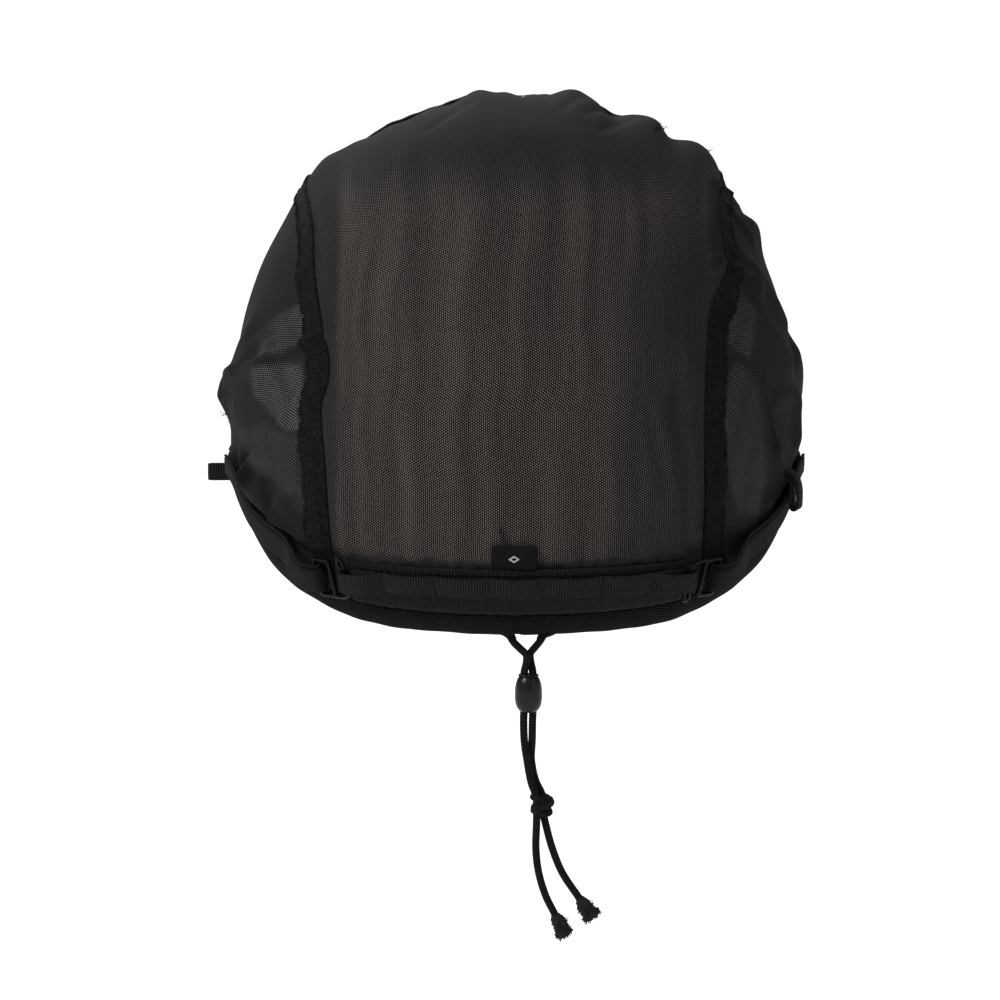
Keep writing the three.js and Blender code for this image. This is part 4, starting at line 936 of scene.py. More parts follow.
# Net stretched open beside the seams, in pixels: an outline, its soft edge and its share
OPEN_PATCHES = [
    ([(260, 346), (273, 325), (290, 307), (306, 300), (318, 329), (318, 341), (302, 351), (283, 361),
      (261, 361)], 5, 0.9),
    ([(260, 368), (283, 363), (306, 362), (310, 382), (310, 402), (310, 433), (292, 433), (273, 416),
      (258, 396)], 5, 1.0),
    ([(241, 428), (268, 420), (306, 436), (308, 477), (318, 512), (320, 530), (304, 512), (285, 484),
      (258, 466)], 7, 0.75),
    ([(246, 400), (262, 392), (276, 420), (262, 430), (246, 426)], 9, 0.35),
    ([(714, 286), (724, 274), (736, 277), (750, 312), (754, 344), (748, 361), (726, 350), (716, 318)],
     5, 0.85),
    ([(716, 376), (734, 360), (753, 375), (763, 411), (763, 453), (766, 484), (757, 517), (734, 515),
      (724, 479), (720, 432), (714, 401)], 6, 0.8),
    ([(650, 520), (690, 515), (700, 545), (655, 552)], 6, 0.3),
]

# Centre net, in pixels: where its open part starts, where it gets closer on the right and below as painted
# shade, and the ends of a fold darkened with painted shade
OPEN_TOP, OPEN_TOP_FADE, OPEN_LEFT, OPEN_LEFT_FADE = 104, 112, 334, 12
SHADE_RIGHT, SHADE_BELOW = 590, 180
FOLD_SHADE_ENDS = ((668, 400), (682, 545))

# Cloth folded double and painted shade in pockets and folds, in pixels: both ends of a soft band, its radius
# and its share
DOUBLED_AND_SHADED_BANDS = [
    ((238, 460), (250, 474), 15, 1.0), ((239, 480), (245, 496), 9, 1.0), ((272, 482), (276, 508), 7, 0.6),
    ((262, 366), (304, 350), 3, 0.5), ((711, 190), (716, 262), 7, 0.6), ((779, 486), (776, 502), 7, 0.9),
    ((786, 462), (788, 470), 6, 0.7), ((300, 500), (330, 550), 8, 0.45), ((702, 520), (722, 534), 10, 0.45),
    ((292, 536), (340, 551), 5, 0.8), ((690, 550), (735, 532), 5, 0.7), ((284, 512), (300, 530), 6, 0.6),
    ((348, 562), (500, 572), 3, 0.8), ((530, 572), (690, 562), 3, 0.8), ((256, 505), (280, 524), 4, 0.8),
]


def pixels_of(points):
    """Where the photograph shows these points, and how surely they face it."""
    rel = points - CAMERA_PLACE
    depth = -(rel @ back_axis)
    x = FRAME_PIXELS / 2 + rel @ right_axis * FOCAL_PIXELS / depth
    y = FRAME_PIXELS / 2 - rel @ up_axis * FOCAL_PIXELS / depth
    return x, y, fade(points[..., 1] / 8 + 0.2)


def from_band(x, y, start, end):
    """Distance in pixels from a line between two pixels."""
    line = np.subtract(end, start).astype(float)
    share = np.clip(((x - start[0]) * line[0] + (y - start[1]) * line[1]) / max(line @ line, 1e-9), 0, 1)
    return np.hypot(x - start[0] - share * line[0], y - start[1] - share * line[1])


def patches_share(points, start):
    """How far a side net is stretched open at each point."""
    x, y, faces = pixels_of(points)
    total = np.full(x.shape, start)
    for outline, soft, share in OPEN_PATCHES:
        middle_x, middle_y = np.mean(outline, axis=0)
        near = (np.abs(x - middle_x) < 90) & (np.abs(y - middle_y) < 120)
        px, py = x[near], y[near]
        far = np.full(px.shape, 1e9)
        inside = np.zeros(px.shape, bool)
        for start_at, end_at in zip(outline, outline[1:] + outline[:1]):
            far = np.minimum(far, from_band(px, py, start_at, end_at))
            between = (start_at[1] > py) != (end_at[1] > py)
            slope = (end_at[0] - start_at[0]) / ((end_at[1] - start_at[1]) or 1e-9)
            inside ^= between & (px < start_at[0] + slope * (py - start_at[1]))
        signed = np.where(inside, far, -far)
        total[near] = np.maximum(total[near], share * fade(signed / (2 * soft) + 0.5) * faces[near])
    return total


def doubled_and_shaded_share(points):
    """How far the cloth lies folded double, with painted shade of pockets and folds, at each point."""
    x, y, faces = pixels_of(points)
    total = np.zeros(x.shape)
    for first, last, radius, share in DOUBLED_AND_SHADED_BANDS:
        total = np.maximum(total, share * fade((radius - from_band(x, y, first, last)) / 10 + 0.5) * faces)
    return total


def puff_lift(points):
    """Raised lobes whose edge is on the left of the line as it goes down."""
    x, y, faces = pixels_of(points)
    total = np.zeros(x.shape)
    for places, height, edge, reach in PUFFS:
        far = np.full(x.shape, 1e9)
        inside = np.zeros(x.shape)
        for first, last in zip(places, places[1:]):
            line = np.subtract(last, first).astype(float)
            near = from_band(x, y, first, last)
            turn = line[1] * (x - first[0]) - line[0] * (y - first[1])
            inside = np.where(near < far, np.sign(turn), inside)
            far = np.minimum(near, far)
        signed = far * inside
        inner = np.exp(-np.clip(signed, 0, None) / reach)
        total += height * faces * fade((signed + edge) / edge) * inner * (far < 90)
    return total


def open_centre(points):
    """The centre net: open below the crown, closed again at its lower edge and beside the left seam, and
    closed a little on the lower right and along one fold as painted shade.
    """
    x, y, faces = pixels_of(points)
    crown = fade((y - OPEN_TOP) / OPEN_TOP_FADE)
    ragged = 0.7 * smooth_noise(points * [1, 1, 0.2], 9.0, 9)
    edge = fade((ribbon_centre_fall - RIBBON_WIDTH / 2 - 0.4 + points[..., 2] + ragged) / 2.2)
    left = mix(0.5, 1.0, fade((x - OPEN_LEFT) / OPEN_LEFT_FADE))
    # Painted shade: the lower right side, lit less, is darkened by closing the net.
    right_side_shade = mix(1.0, 0.6, fade((x - SHADE_RIGHT) / 90) * fade((y - SHADE_BELOW) / 120))
    # Painted shade along a fold: the net is closed there.
    fold_shade = 1 - 0.3 * fade((8 - from_band(x, y, *FOLD_SHADE_ENDS)) / 6)
    return 0.06 + 0.94 * crown * edge * left * right_side_shade * fold_shade * faces


def coons(upper, lower, front, back, rows, columns):
    """A grid of points between four edges, and each point's share from the upper edge to the lower."""
    u = np.linspace(0, 1, rows)
    v = np.linspace(0, 1, columns)
    top, bottom, fore, rear = upper(u), lower(u), front(v), back(v)
    uu, vv = u[:, None, None], v[None, :, None]
    grid = top[:, None] * (1 - vv) + bottom[:, None] * vv + fore[None] * (1 - uu) + rear[None] * uu
    grid = grid - top[0] * (1 - uu) * (1 - vv) - top[-1] * uu * (1 - vv)
    grid = grid - bottom[0] * (1 - uu) * vv - bottom[-1] * uu * vv
    return grid, np.broadcast_to(v[None], (rows, columns))


def net_edge(first, last):
    return lambda share: on_head(mix(first, last, share), net_edge_fall(mix(first, last, share)) + NET_TUCK)


NET_LIFT, NET_TUCK = 0.8, 1.6
CENTRE_GRID, SIDE_GRID = (300, 150), (240, 110)
ribbon_centre_fall = HEM_FALL - HEM_HEIGHT - CLEARANCE - RIBBON_WIDTH / 2
loop_centre_fall = ribbon_centre_fall - LOOP_RAISE


def strap_centre_fall(azimuth):
    """Level between the hooks; further on it follows the hem."""
    reach = np.abs(azimuth)
    followed = edge_fall(reach) - strap_rise(reach) * STRAP_WIDTH
    return mix(loop_centre_fall, followed, fade((reach - 40) / 8))


def strap_top_fall(azimuth):
    reach = np.maximum(np.abs(azimuth), 34)
    return strap_centre_fall(reach) - strap_share(reach) * STRAP_WIDTH / 2


def net_panel(name, node, grid, folds, is_centre):
    """A net panel laid over the form, with its folds, creases, puffs and gathers."""
    points, share = grid
    seat = onto_head(points)
    if is_centre:
        to_seam = np.minimum(share, 1 - share)
        seam_room, edge_room, clear = fade(to_seam / 0.14), fade(to_seam / 0.03), 1.0
        room = fade((HEM_FALL - HEM_HEIGHT - RIBBON_WIDTH - 6.4 + seat[..., 2]) / FOLD_WIDTH)
        stretch, warm = open_centre(seat), 0.9
    else:
        azimuth = azimuth_of(seat)
        top = np.where(azimuth < STRAP_END, strap_top_fall(azimuth), net_edge_fall(azimuth))
        seam_room, edge_room = fade((share - 0.06) / 0.14), fade(share / 0.04)
        clear = fade((top + seat[..., 2] + 0.2) / 2.0)
        room = fade((top + seat[..., 2]) / FOLD_WIDTH)
        stretch, warm = patches_share(seat, 0.06), 0.15
    fine = (crease_lift(seat) + puff_lift(seat)) * edge_room * clear + gather_lift(seat) * edge_room
    lift = seam_room * room * ridge_lift(seat, folds) + hill_lift(seat) + np.maximum(fine, -0.6) + NET_LIFT
    # The last share is painted shade where the cloth lies double and in pockets and folds.
    shares = {"open": stretch, "warm": np.full(stretch.shape, warm), "doubled_and_shaded": doubled_and_shaded_share(seat)}
    piece = sheet_mesh(name, onto_head(seat, lift), NET, shares)
    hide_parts(node)
    return piece


def along_seam(seam):
    return lambda share: beside(seam, share, np.zeros(share.shape))


centre_grid = coons(
    along_seam(left_seam), along_seam(right_seam), net_edge(left_seam["front"], 360 - right_seam["front"]),
    net_edge(left_seam["nape"], -right_seam["nape"]), *CENTRE_GRID,
)
centre_net = net_panel("net_centre", "centre_panel", centre_grid, placed(CENTRE_FOLDS, 1), True)
side_nets = []
for name, node, seam, folds in (
    ("net_side_left", "side_panel_left", left_seam, LEFT_FOLDS),
    ("net_side_right", "side_panel_right", right_seam, RIGHT_FOLDS),
):
    side = seam["side"]
    grid = coons(
        along_seam(seam), net_edge(side * TEMPLE, side * BEHIND_EAR),
        net_edge(side * seam["front"], side * TEMPLE), net_edge(side * seam["nape"], side * BEHIND_EAR),
        *SIDE_GRID,
    )
    side_nets.append(net_panel(name, node, grid, placed(folds, side), False))


# Seam tapes with their overlocked edge
def net_tree():
    """The three net panels as one surface that a tape can be laid on."""
    corners, faces = [], []
    for piece in (centre_net, *side_nets):
        start = len(corners)
        corners += [v.co[:] for v in piece.data.vertices]
        faces += [tuple(start + k for k in polygon.vertices) for polygon in piece.data.polygons]
    return BVHTree.FromPolygons(corners, faces)


def on_net(seat, lift, tree):
    """Points over the net, raised by the lift along the form's normal."""
    out = head_normal(seat)
    laid = []
    for place, way, height in zip(seat, out, np.broadcast_to(lift, len(seat))):
        hit = tree.ray_cast(Vector((place + way * 14) * MM), Vector(-way), 0.02)
        base = np.array(hit[0]) / MM if hit[0] else place + way * NET_LIFT
        laid.append(base + way * height)
    return np.array(laid)


net_surface = net_tree()
TAPE_STATIONS, FRINGE_THREADS, FRINGE_RADIUS = 900, 1500, 0.075
TAPE_WIDTHS = column([(0, 4.6), (0.3, 4.6), (0.5, 4.9), (0.62, 6.4), (0.72, 7.2), (0.88, 7.4), (1, 6.6)])


def seam_tape(name, node, seam):
    """The flat dark allowance beside a seam: a low ridge on the seam, a raw edge that wanders."""
    along = np.linspace(0.004, 0.995, TAPE_STATIONS)
    width = TAPE_WIDTHS(along) / 5.2
    waver = 0.4 * np.sin(along * 61 + seam["side"]) + 0.25 * np.sin(along * 143 + 1)
    for pitch, size in ((377, 0.16), (811, 0.14), (1277, 0.12)):
        waver = waver + size * np.sin(along * pitch + pitch * seam["side"])
    profile = [
        (-0.35, -0.2, 0), (-0.32, 0.25, 0), (-0.1, 0.55, 0), (0.2, 0.6, 0), (0.45, 0.4, 0), (0.8, 0.3, 0),
        (2.2, 0.4, 0.2), (3.6, 0.42, 0.6), (4.6, 0.36, 1), (5.15, 0.2, 1), (5.3, -0.15, 1), (2.4, -0.25, 0.5),
    ]
    rings = []
    for across, lift, share in profile:
        lumps = (0.12 * np.sin(along * 733 + across * 2) + 0.1 * np.sin(along * 431)) * (lift > 0.5)
        seat = beside(seam, along, across * width + waver * share)
        ripple = 0.22 * smooth_noise(seat, 7.0, 31) * min(1.0, max(across, 0) / 2)
        rings.append(on_net(onto_head(seat), lift + lumps + ripple, net_surface))
    piece = rings_mesh(name, np.stack(rings, 1), TAPE)
    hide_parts(node)
    threads = []
    for k in range(FRINGE_THREADS):
        at = rng.uniform(along[0], along[-1])
        if k % 5 == 0:
            edge = rng.uniform(-0.35, 0.3)
        else:
            edge = 5.15 * np.interp(at, along, width) + np.interp(at, along, waver)
        turn = at + rng.normal(0, 0.003)
        root = beside(seam, np.array([at, turn]), np.array([edge - 0.3, edge + rng.uniform(0.1, 0.8)]))
        path = on_net(onto_head(root), np.array([0.4, rng.uniform(0.2, 0.75)]), net_surface)
        threads.append(np.array([path[0], path.mean(0) + [0, 0, 0.1], path[1]]))
    tubes_mesh(name + "_fringe", threads, FRINGE_RADIUS, OVERLOCK, 3)


seam_tape("seam_left_allowance", "seam_tape_left", left_seam)
seam_tape("seam_right_allowance", "seam_tape_right", right_seam)


# Crown seam: a gathered frill with a raw edge
def crown_seam():
    count = 420
    across = np.linspace(CROWN_SEAM_REACH, -CROWN_SEAM_REACH, count) * SEAM_HALF_SPACING
    frill = 0.7 * np.sin(across * 0.42 + 1.5 * np.sin(across * 0.13)) + 0.25 * np.sin(across * 1.1)
    profile = [
        (-2.6, 0.3, 0.0), (-2.5, 1.0, 0.3), (-1.6, 1.5, 0.8), (-0.4, 1.9, 1.0), (0.8, 1.7, 0.8),
        (1.9, 1.3, 0.9), (2.6, 0.9, 1.0), (2.5, 0.4, 0.6),
    ]
    rings = []
    for offset, lift, share in profile:
        seat = over_head(across, np.full(count, 90.0))
        seat[:, 1] = CROWN_SEAM_PLACE + offset + 0.3 * frill * share
        base = onto_head(seat)
        rings.append(onto_head(base, hill_lift(base) + NET_LIFT + 0.2 + lift + 0.35 * frill * share))
    piece = rings_mesh("crown_frill", np.stack(rings, 1), TAPE)
    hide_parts("crown_seam")


crown_seam()


# Hem casings, binding and ribbons
def band(name, node, azimuths, upper, lower, profile, material):
    """A closed band: each profile row is a share of the width and a lift, or a function for the lift."""
    rings = []
    for share, lift in profile:
        fall = mix(upper(azimuths), lower(azimuths), share)
        rings.append(on_head(azimuths, fall, lift(azimuths) if callable(lift) else lift))
    piece = rings_mesh(name, np.stack(rings, 1), material)
    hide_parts(node)


def casing_top(azimuth):
    return edge_fall(azimuth) - HEM_HEIGHT


def swelling(amount, seed):
    """A slow change of thickness along a band."""
    phases = np.random.default_rng(seed).uniform(0, 6.3, 4)
    return lambda azimuth: amount * sum(
        np.sin(azimuth * k + phase) for k, phase in zip((0.11, 0.23, 0.41, 0.77), phases)) / 4


def hem_profile(seed):
    """The casing's section, a little thinner at the join in the middle of the nape."""
    slow = swelling(0.3, seed)

    def wave(azimuth):
        join = 0.5 * np.exp(-((azimuth / 0.45) ** 2))
        return slow(azimuth) - join + 0.25 * np.exp(-(((azimuth - 1.3) / 0.7) ** 2))

    rows = [
        (0.0, 0.15), (-0.02, 0.7), (0.06, 1.25), (0.2, 1.6), (0.42, 1.75), (0.64, 1.75), (0.84, 1.6),
        (0.96, 1.25), (1.01, 0.7), (1.0, 0.15),
    ]
    return [(share, (lambda a, lift=lift: lift + wave(a) * (lift > 1))) for share, lift in rows]


def binding_top(azimuth):
    return edge_fall(azimuth) - BINDING_HEIGHT


BINDING_SECTION = [
    (0.0, 0.15), (-0.01, 0.6), (0.06, 1.15), (0.3, 1.35), (0.6, 1.35), (0.92, 1.2), (1.01, 0.65), (1.0, 0.15),
]
for name, node, azimuths, upper, profile in (
    ("hem_left", "hem_casing_left", np.linspace(0.0, CASING_END, 420), casing_top, hem_profile(2)),
    ("hem_right", "hem_casing_right", np.linspace(-CASING_END, 0.0, 420), casing_top, hem_profile(6)),
    ("face_binding", "front_binding", np.linspace(CASING_END, 360 - CASING_END, 620), binding_top,
     BINDING_SECTION),
):
    band(name, node, azimuths, upper, edge_fall, profile, HEM)


class Line:
    """A line on the form measured from its start, with the directions there."""

    def __init__(self, fall_at, first, last):
        azimuth = np.linspace(first, last, 900)
        dense = on_head(azimuth, fall_at(azimuth))
        run = length_along(dense)
        self.length = run[-1]
        self.run = run
        self.dense = dense
        self.tangent = unit(np.gradient(dense, run, axis=0))

    def frame(self, distance):
        distance = np.clip(np.asarray(distance, float), 0, self.length)
        point = onto_head(np.stack([np.interp(distance, self.run, self.dense[:, k]) for k in range(3)], -1))
        along = unit(np.stack([np.interp(distance, self.run, self.tangent[:, k]) for k in range(3)], -1))
        out = head_normal(point)
        up = unit(np.cross(out, along))
        up = np.where(up[..., 2:3] < 0, -up, up)
        return point, along, out, up


def ribbon(name, node, line, path, width, section, material):
    """A ribbon along a path of distances and lifts; a section row is a share across and a height."""
    path = np.array(path, float)
    slope = unit(np.gradient(path, axis=0))
    normal = np.stack([-slope[:, 1], slope[:, 0]], -1)
    point, along, out, up = line.frame(path[:, 0])
    wide = width(point, path[:, 0]) if callable(width) else np.full(len(path), width)
    rings = []
    for share, height in section:
        lifted = point + up * (share * wide)[:, None] + out * (path[:, 1] + normal[:, 1] * height)[:, None]
        rings.append(lifted + along * (normal[:, 0] * height)[:, None])
    piece = rings_mesh(name, np.stack(rings, 1), material)
    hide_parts(node)


FLAT_SECTION = [
    (0.5, 0.1), (0.46, 0.42), (0.3, 0.45), (0.0, 0.45), (-0.3, 0.45), (-0.46, 0.42), (-0.5, 0.1),
    (-0.48, -0.4), (0.0, -0.45), (0.48, -0.4),
]
STRAP_SECTION = [
    (0.5, 0.1), (0.48, 0.42), (0.425, 0.45), (0.405, -0.1), (0.35, -0.12), (0.33, 0.4), (0.15, 0.45),
    (-0.15, 0.45), (-0.38, 0.42), (-0.47, 0.38), (-0.5, 0.05), (-0.48, -0.4), (0.0, -0.45), (0.48, -0.4),
]

level_line = Line(lambda a: np.full(np.shape(a), loop_centre_fall), 58, -58)
middle = level_line.length / 2


def nape_ribbon():
    end = float(azimuth_of(level_line.frame(middle - RIBBON_REACH)[0]))
    top = lambda a: np.full(np.shape(a), ribbon_centre_fall - RIBBON_WIDTH / 2)
    bottom = lambda a: np.minimum(ribbon_centre_fall + RIBBON_WIDTH / 2, casing_top(a) - CLEARANCE)
    bumps = swelling(0.35, 12)
    fine = lambda a: 0.16 * np.sin(np.asarray(a) * 1.9)
    rows = [
        (0.0, 1.25), (-0.03, 1.9), (0.03, 2.35), (0.12, 2.2), (0.5, 2.3), (0.9, 2.3), (0.99, 2.2), (1.0, 1.8),
        (0.98, 1.3),
    ]
    profile = [
        (share, (lambda a, lift=lift: lift + (bumps(a) + fine(a)) * 0.5 * (lift > 2))) for share, lift in rows
    ]
    azimuths = np.linspace(-end, end, 300)
    band("nape_ribbon_weave", "nape_ribbon", azimuths, top, bottom, profile, RIBBON)


nape_ribbon()


def turn_path(centre, direction, steps=12):
    """A half turn round a hook's bar, from the layer below it to the layer above it."""
    angle = np.pi * np.arange(steps + 1) / steps
    return [
        (centre + direction * TURN_RADIUS * np.sin(a), HOOK_LIFT - TURN_RADIUS * np.cos(a)) for a in angle
    ]


hook_out = level_line.frame(middle - HOOK_OFFSET)[2]
next_out = level_line.frame(middle - HOOK_OFFSET - HOOK_WIDTH)[2]
turned = float(np.arccos(np.clip(hook_out @ next_out, -1, 1)))


def on_form(reach):
    """A reach at the hooks' height as a distance along the form."""
    return reach / (1 + HOOK_LIFT * turned / HOOK_WIDTH)


def smooth_path(path, count):
    flat = np.array([(a, b, 0.0) for a, b in path])
    return centripetal(flat, count)[:, :2]


half_span = (TACK_COUNT - 1) * TACK_PITCH / 2


def loop_strip():
    """The ribbon that is tacked down at each place and turns round both hooks."""
    arm_offset = HOOK_OFFSET - on_form(HOOK_REACH)

    def end_run(side):
        arm = middle + side * arm_offset
        tack = middle + side * half_span
        return [
            (tack + side * 1.5, UPPER_LAYER), (mix(tack, arm, 0.6), UPPER_LAYER), (arm - side, UPPER_LAYER),
            *turn_path(arm, side), (arm - side, OUTER_TURN),
            (mix(tack, arm, 0.45), OUTER_TURN - CLEARANCE), (tack + side * 1.5, UPPER_LAYER + 1 + CLEARANCE),
        ]

    humps = []
    for tack in range(TACK_COUNT - 1):
        start = middle - half_span + tack * TACK_PITCH
        rise = LOOP_RISE * (0.75 + 0.35 * rng.random())
        for share in (0.05, 0.15, 0.3, 0.5, 0.7, 0.85, 0.95):
            humps.append((start + share * TACK_PITCH, UPPER_LAYER + rise * np.sin(np.pi * share) ** 0.7))
    path = smooth_path([*end_run(-1), *humps, *end_run(1)[::-1]], 420)
    ribbon("loop_strip_weave", "loop_strip", level_line, path, LOOP_WIDTH, FLAT_SECTION, LOOP)
    tacks = []
    for tack in range(TACK_COUNT):
        distance = middle - half_span + tack * TACK_PITCH
        point, along, out, up = level_line.frame(distance)
        for k in range(26):
            height = mix(-0.52, 0.52, (k + 0.5) / 26) * LOOP_WIDTH
            lean = 0.12 if k % 2 else -0.12
            stitch = []
            for e in (-0.55, 0.0, 0.55):
                raised = UPPER_LAYER + 0.5 + 0.25 * (1 - abs(e) / 0.55)
                stitch.append(point + up * (height + lean * e) + along * e + out * raised)
            tacks.append(np.array(stitch))
    tubes_mesh("bar_tacks", tacks, 0.13, OVERLOCK, 5)


loop_strip()


def strap(name, node, side):
    """An elastic strap from its turn round the hook's bar to its end at the hem."""
    line = Line(strap_centre_fall, 0.001, side * STRAP_END)
    bar = HOOK_OFFSET + on_form(HOOK_WIDTH - HOOK_BAR)
    path = [
        (bar + 5, UPPER_LAYER), (bar + 2.5, UPPER_LAYER), *turn_path(bar, -1), (bar + 2.5, OUTER_TURN),
        (bar + 5, OUTER_TURN - CLEARANCE),
    ]
    for step in range(1, 13):
        distance = bar + 5 + (line.length - bar - 5) * step / 12
        path.append((distance, mix(OUTER_TURN - CLEARANCE, STRAP_LAYER, fade((distance - bar - 5) / 13))))
    width = lambda point, distance: strap_share(azimuth_of(point)) * STRAP_WIDTH
    ribbon(name, node, line, smooth_path(path, 320), width, STRAP_SECTION, STRAP)


strap("strap_left_elastic", "strap_left", 1)
strap("strap_right_elastic", "strap_right", -1)


# Hooks
def hook(name, node, side):
    """A moulded hook: a closed rounded frame for the strap and an open arm that curls back."""
    point, along, out, _ = level_line.frame(middle - side * HOOK_OFFSET)
    across = -side * along
    up = unit(np.cross(out, across))
    normal = np.cross(across, up)
    place = point + out * (HOOK_LIFT - HOOK_SETTLE)
    half = HOOK_HEIGHT / 2

    def spot(x, y, z=0.0):
        return place + across * x + up * y + normal * z

    left, right = 0.0, HOOK_WIDTH - HOOK_BAR
    top, bottom = half - HOOK_BAR / 2, -half + HOOK_BAR / 2
    corner = 0.9
    loop = []
    for cx, cy, start_angle in (
        (right - corner, top - corner, 0), (left + corner, top - corner, 90),
        (left + corner, bottom + corner, 180), (right - corner, bottom + corner, 270),
    ):
        for angle in np.radians(start_angle + np.linspace(0, 90, 8)):
            loop.append(spot(cx + corner * np.cos(angle), cy + corner * np.sin(angle)))
    loop = resampled(np.array(loop + loop[:1]), 97)[:-1]
    tangent = unit(np.roll(loop, -1, 0) - np.roll(loop, 1, 0))
    inward = np.cross(np.broadcast_to(normal, tangent.shape), tangent)
    angle = np.linspace(0, 2 * np.pi, 14, endpoint=False)
    flat = powered(np.cos(angle), 0.7)[None, :, None] * inward[:, None] * HOOK_BAR / 2
    tall = powered(np.sin(angle), 0.7)[None, :, None] * normal * HOOK_WALL / 2
    rings = loop[:, None] + flat + tall
    rows, columns = rings.shape[:2]
    faces = grid_faces(rows, columns, wrap=True)
    faces += [((rows - 1) * columns + j, j, (j + 1) % columns, (rows - 1) * columns + (j + 1) % columns)
              for j in range(columns)]
    closed = add_object(name + "_frame", rings.reshape(-1, 3), faces, HOOK)
    reach, drop, rise, curl = HOOK_REACH, HOOK_DROP, HOOK_RISE, HOOK_CURL
    route = [
        (0, top), (-reach * 0.3, top + 0.15), (-reach * 0.75, rise + 0.5), (-reach, rise - 1.0), (-reach, 0),
        (-reach, -drop + curl), (-reach + 0.15 * curl, -drop + 0.35 * curl), (-reach + 0.5 * curl, -drop),
        (-reach + curl, -drop + 0.55 * curl), (-reach + 0.95 * curl, -drop + 1.7 * curl),
    ]
    path = centripetal([spot(*p) for p in route], 70)
    taper = lambda run, around: 0.6 * np.ones_like(run * around) * np.where(run > run.max() - 1.2, 0.85, 1.0)
    rings_mesh(name + "_arm", tube_rings(path, taper, 14, start=normal), HOOK)
    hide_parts(node)


hook("hook_left_moulded", "hook_left", 1)
hook("hook_right_moulded", "hook_right", -1)


# Size label: a folded ribbon end with a plain woven lozenge
def size_label():
    """The label's ribbon and the strands of its mark."""
    centre_fall = ribbon_centre_fall - RIBBON_WIDTH / 2 - CLEARANCE - 3.2
    line = Line(lambda a: np.full(np.shape(a), centre_fall), 8, -8)
    centre = line.length / 2 - LABEL_ASIDE
    distance = np.linspace(centre - LABEL_HALF_LENGTH, centre + LABEL_HALF_LENGTH, 60)
    lift = 1.95 + 0.1 * np.sin((distance - centre) * 0.5)
    section = [
        (0.5, -0.2), (0.53, 0.15), (0.5, 0.5), (0.42, 0.55), (0.36, 0.42), (0.0, 0.4), (-0.4, 0.35),
        (-0.52, 0.25), (-0.5, -0.3), (0.0, -0.4),
    ]
    path = np.stack([distance, lift], -1)
    ribbon("size_label_ribbon", "size_label", line, path, LABEL_WIDTH, section, LABEL)
    point, along, out, up = line.frame(centre)
    strands = []
    for k in range(13):
        height = mix(-0.95, 0.95, k / 12)
        reach = 1.5 * (1 - abs(height) / 1.05)
        if reach < 0.1:
            continue
        inner = max(0.0, 0.75 * (1 - abs(height) / 0.55))
        for low, high in ((-reach, -inner), (inner, reach)) if inner > 0.05 else ((-reach, reach),):
            ends = np.linspace(low, high, 4)
            strands.append(np.array([point + along * e + up * (height - 0.2) + out * 2.42 for e in ends]))
    tubes_mesh("label_mark", strands, 0.085, MARK, 5)


size_label()


# Ear loops
def small_loop(name, node, root, first, second, wide, path, count):
    """A ribbon bent along a path in the plane of two directions."""
    path = smooth_path(path, count)
    slope = unit(np.gradient(path, axis=0))
    normal = np.stack([-slope[:, 1], slope[:, 0]], -1)
    section = [
        (0.5, 0.0), (0.48, 0.36), (0.0, 0.4), (-0.48, 0.36), (-0.5, 0.0), (-0.48, -0.36), (0.0, -0.4),
        (0.48, -0.36),
    ]
    rings = []
    for share, height in section:
        laid = path + normal * height
        rings.append(root + first * laid[:, :1] + second * laid[:, 1:] + wide * share * EAR_LOOP_WIDTH)
    piece = rings_mesh(name, np.stack(rings, 1), LOOP)
    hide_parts(node)


EAR_TURN, EAR_REACH, EAR_DROP = 0.95, 5, 11


def ear_loops():
    """A loop that stands out beside the left ear, and one that hangs over the right strap."""
    lift = 1.2 + LAYER_GAP
    left_root = on_head(89, edge_fall(89) - HEM_HEIGHT / 2 + 3.9, lift)
    outward = head_normal(left_root) * [1, 1, 0]
    outward = unit(outward)
    upward = np.array([0.0, 0.0, 1.0])
    backward = unit(np.cross(outward, upward))
    path = [(0, -EAR_TURN)]
    for step in range(9):
        angle = -np.pi / 2 + np.pi * step / 8
        path.append((EAR_REACH + EAR_TURN * np.cos(angle), EAR_TURN * np.sin(angle)))
    path.append((0, EAR_TURN))
    small_loop("ear_loop_left_ribbon", "ear_loop_left", left_root, outward, backward, upward, path, 60)
    right_root = on_head(-64.5, edge_fall(64.5) - 18, 1 + LAYER_GAP + 0.4)
    right_out = unit(head_normal(right_root) * [1, 1, 0])
    downward = -upward
    sideways = unit(np.cross(right_out, downward))
    turn_drop = EAR_DROP - EAR_TURN - 0.4
    over_strap = STRAP_LAYER + 0.5 - 1
    path = [(0, 0), (over_strap * 0.95, turn_drop * 0.3), (over_strap, turn_drop * 0.6)]
    for step in range(9):
        angle = np.pi - np.pi * step / 8
        path.append((over_strap + EAR_TURN * (1 + np.cos(angle)), turn_drop + EAR_TURN * np.sin(angle)))
    outer = over_strap + 1.9
    path += [(outer, turn_drop * 0.5), (outer * 0.8, turn_drop * 0.22), (1.1, 0)]
    small_loop("ear_loop_right_ribbon", "ear_loop_right", right_root, right_out, downward, sideways, path, 90)


ear_loops()


# Stitch rows, loose threads and frayed places
def stitch_row(name, azimuths, fall, lift, pitch):
    """A row of short stitches at an even pitch."""
    points = on_head(azimuths, fall(azimuths), lift)
    run = length_along(points)
    count = int(run[-1] / pitch)
    stitches = []
    for k in range(count):
        at = (k + np.array([0.08, 0.3, 0.55, 0.75])) * pitch
        p = np.stack([np.interp(at, run, points[:, j]) for j in range(3)], -1)
        p[1:3] += head_normal(p[1:3]) * 0.12
        stitches.append(p)
    tubes_mesh(name, stitches, STITCH_RADIUS, OVERLOCK, 4)


def ribbon_stitch_fall(azimuth):
    return np.full(np.shape(azimuth), ribbon_centre_fall - RIBBON_WIDTH / 2 + 1.0)


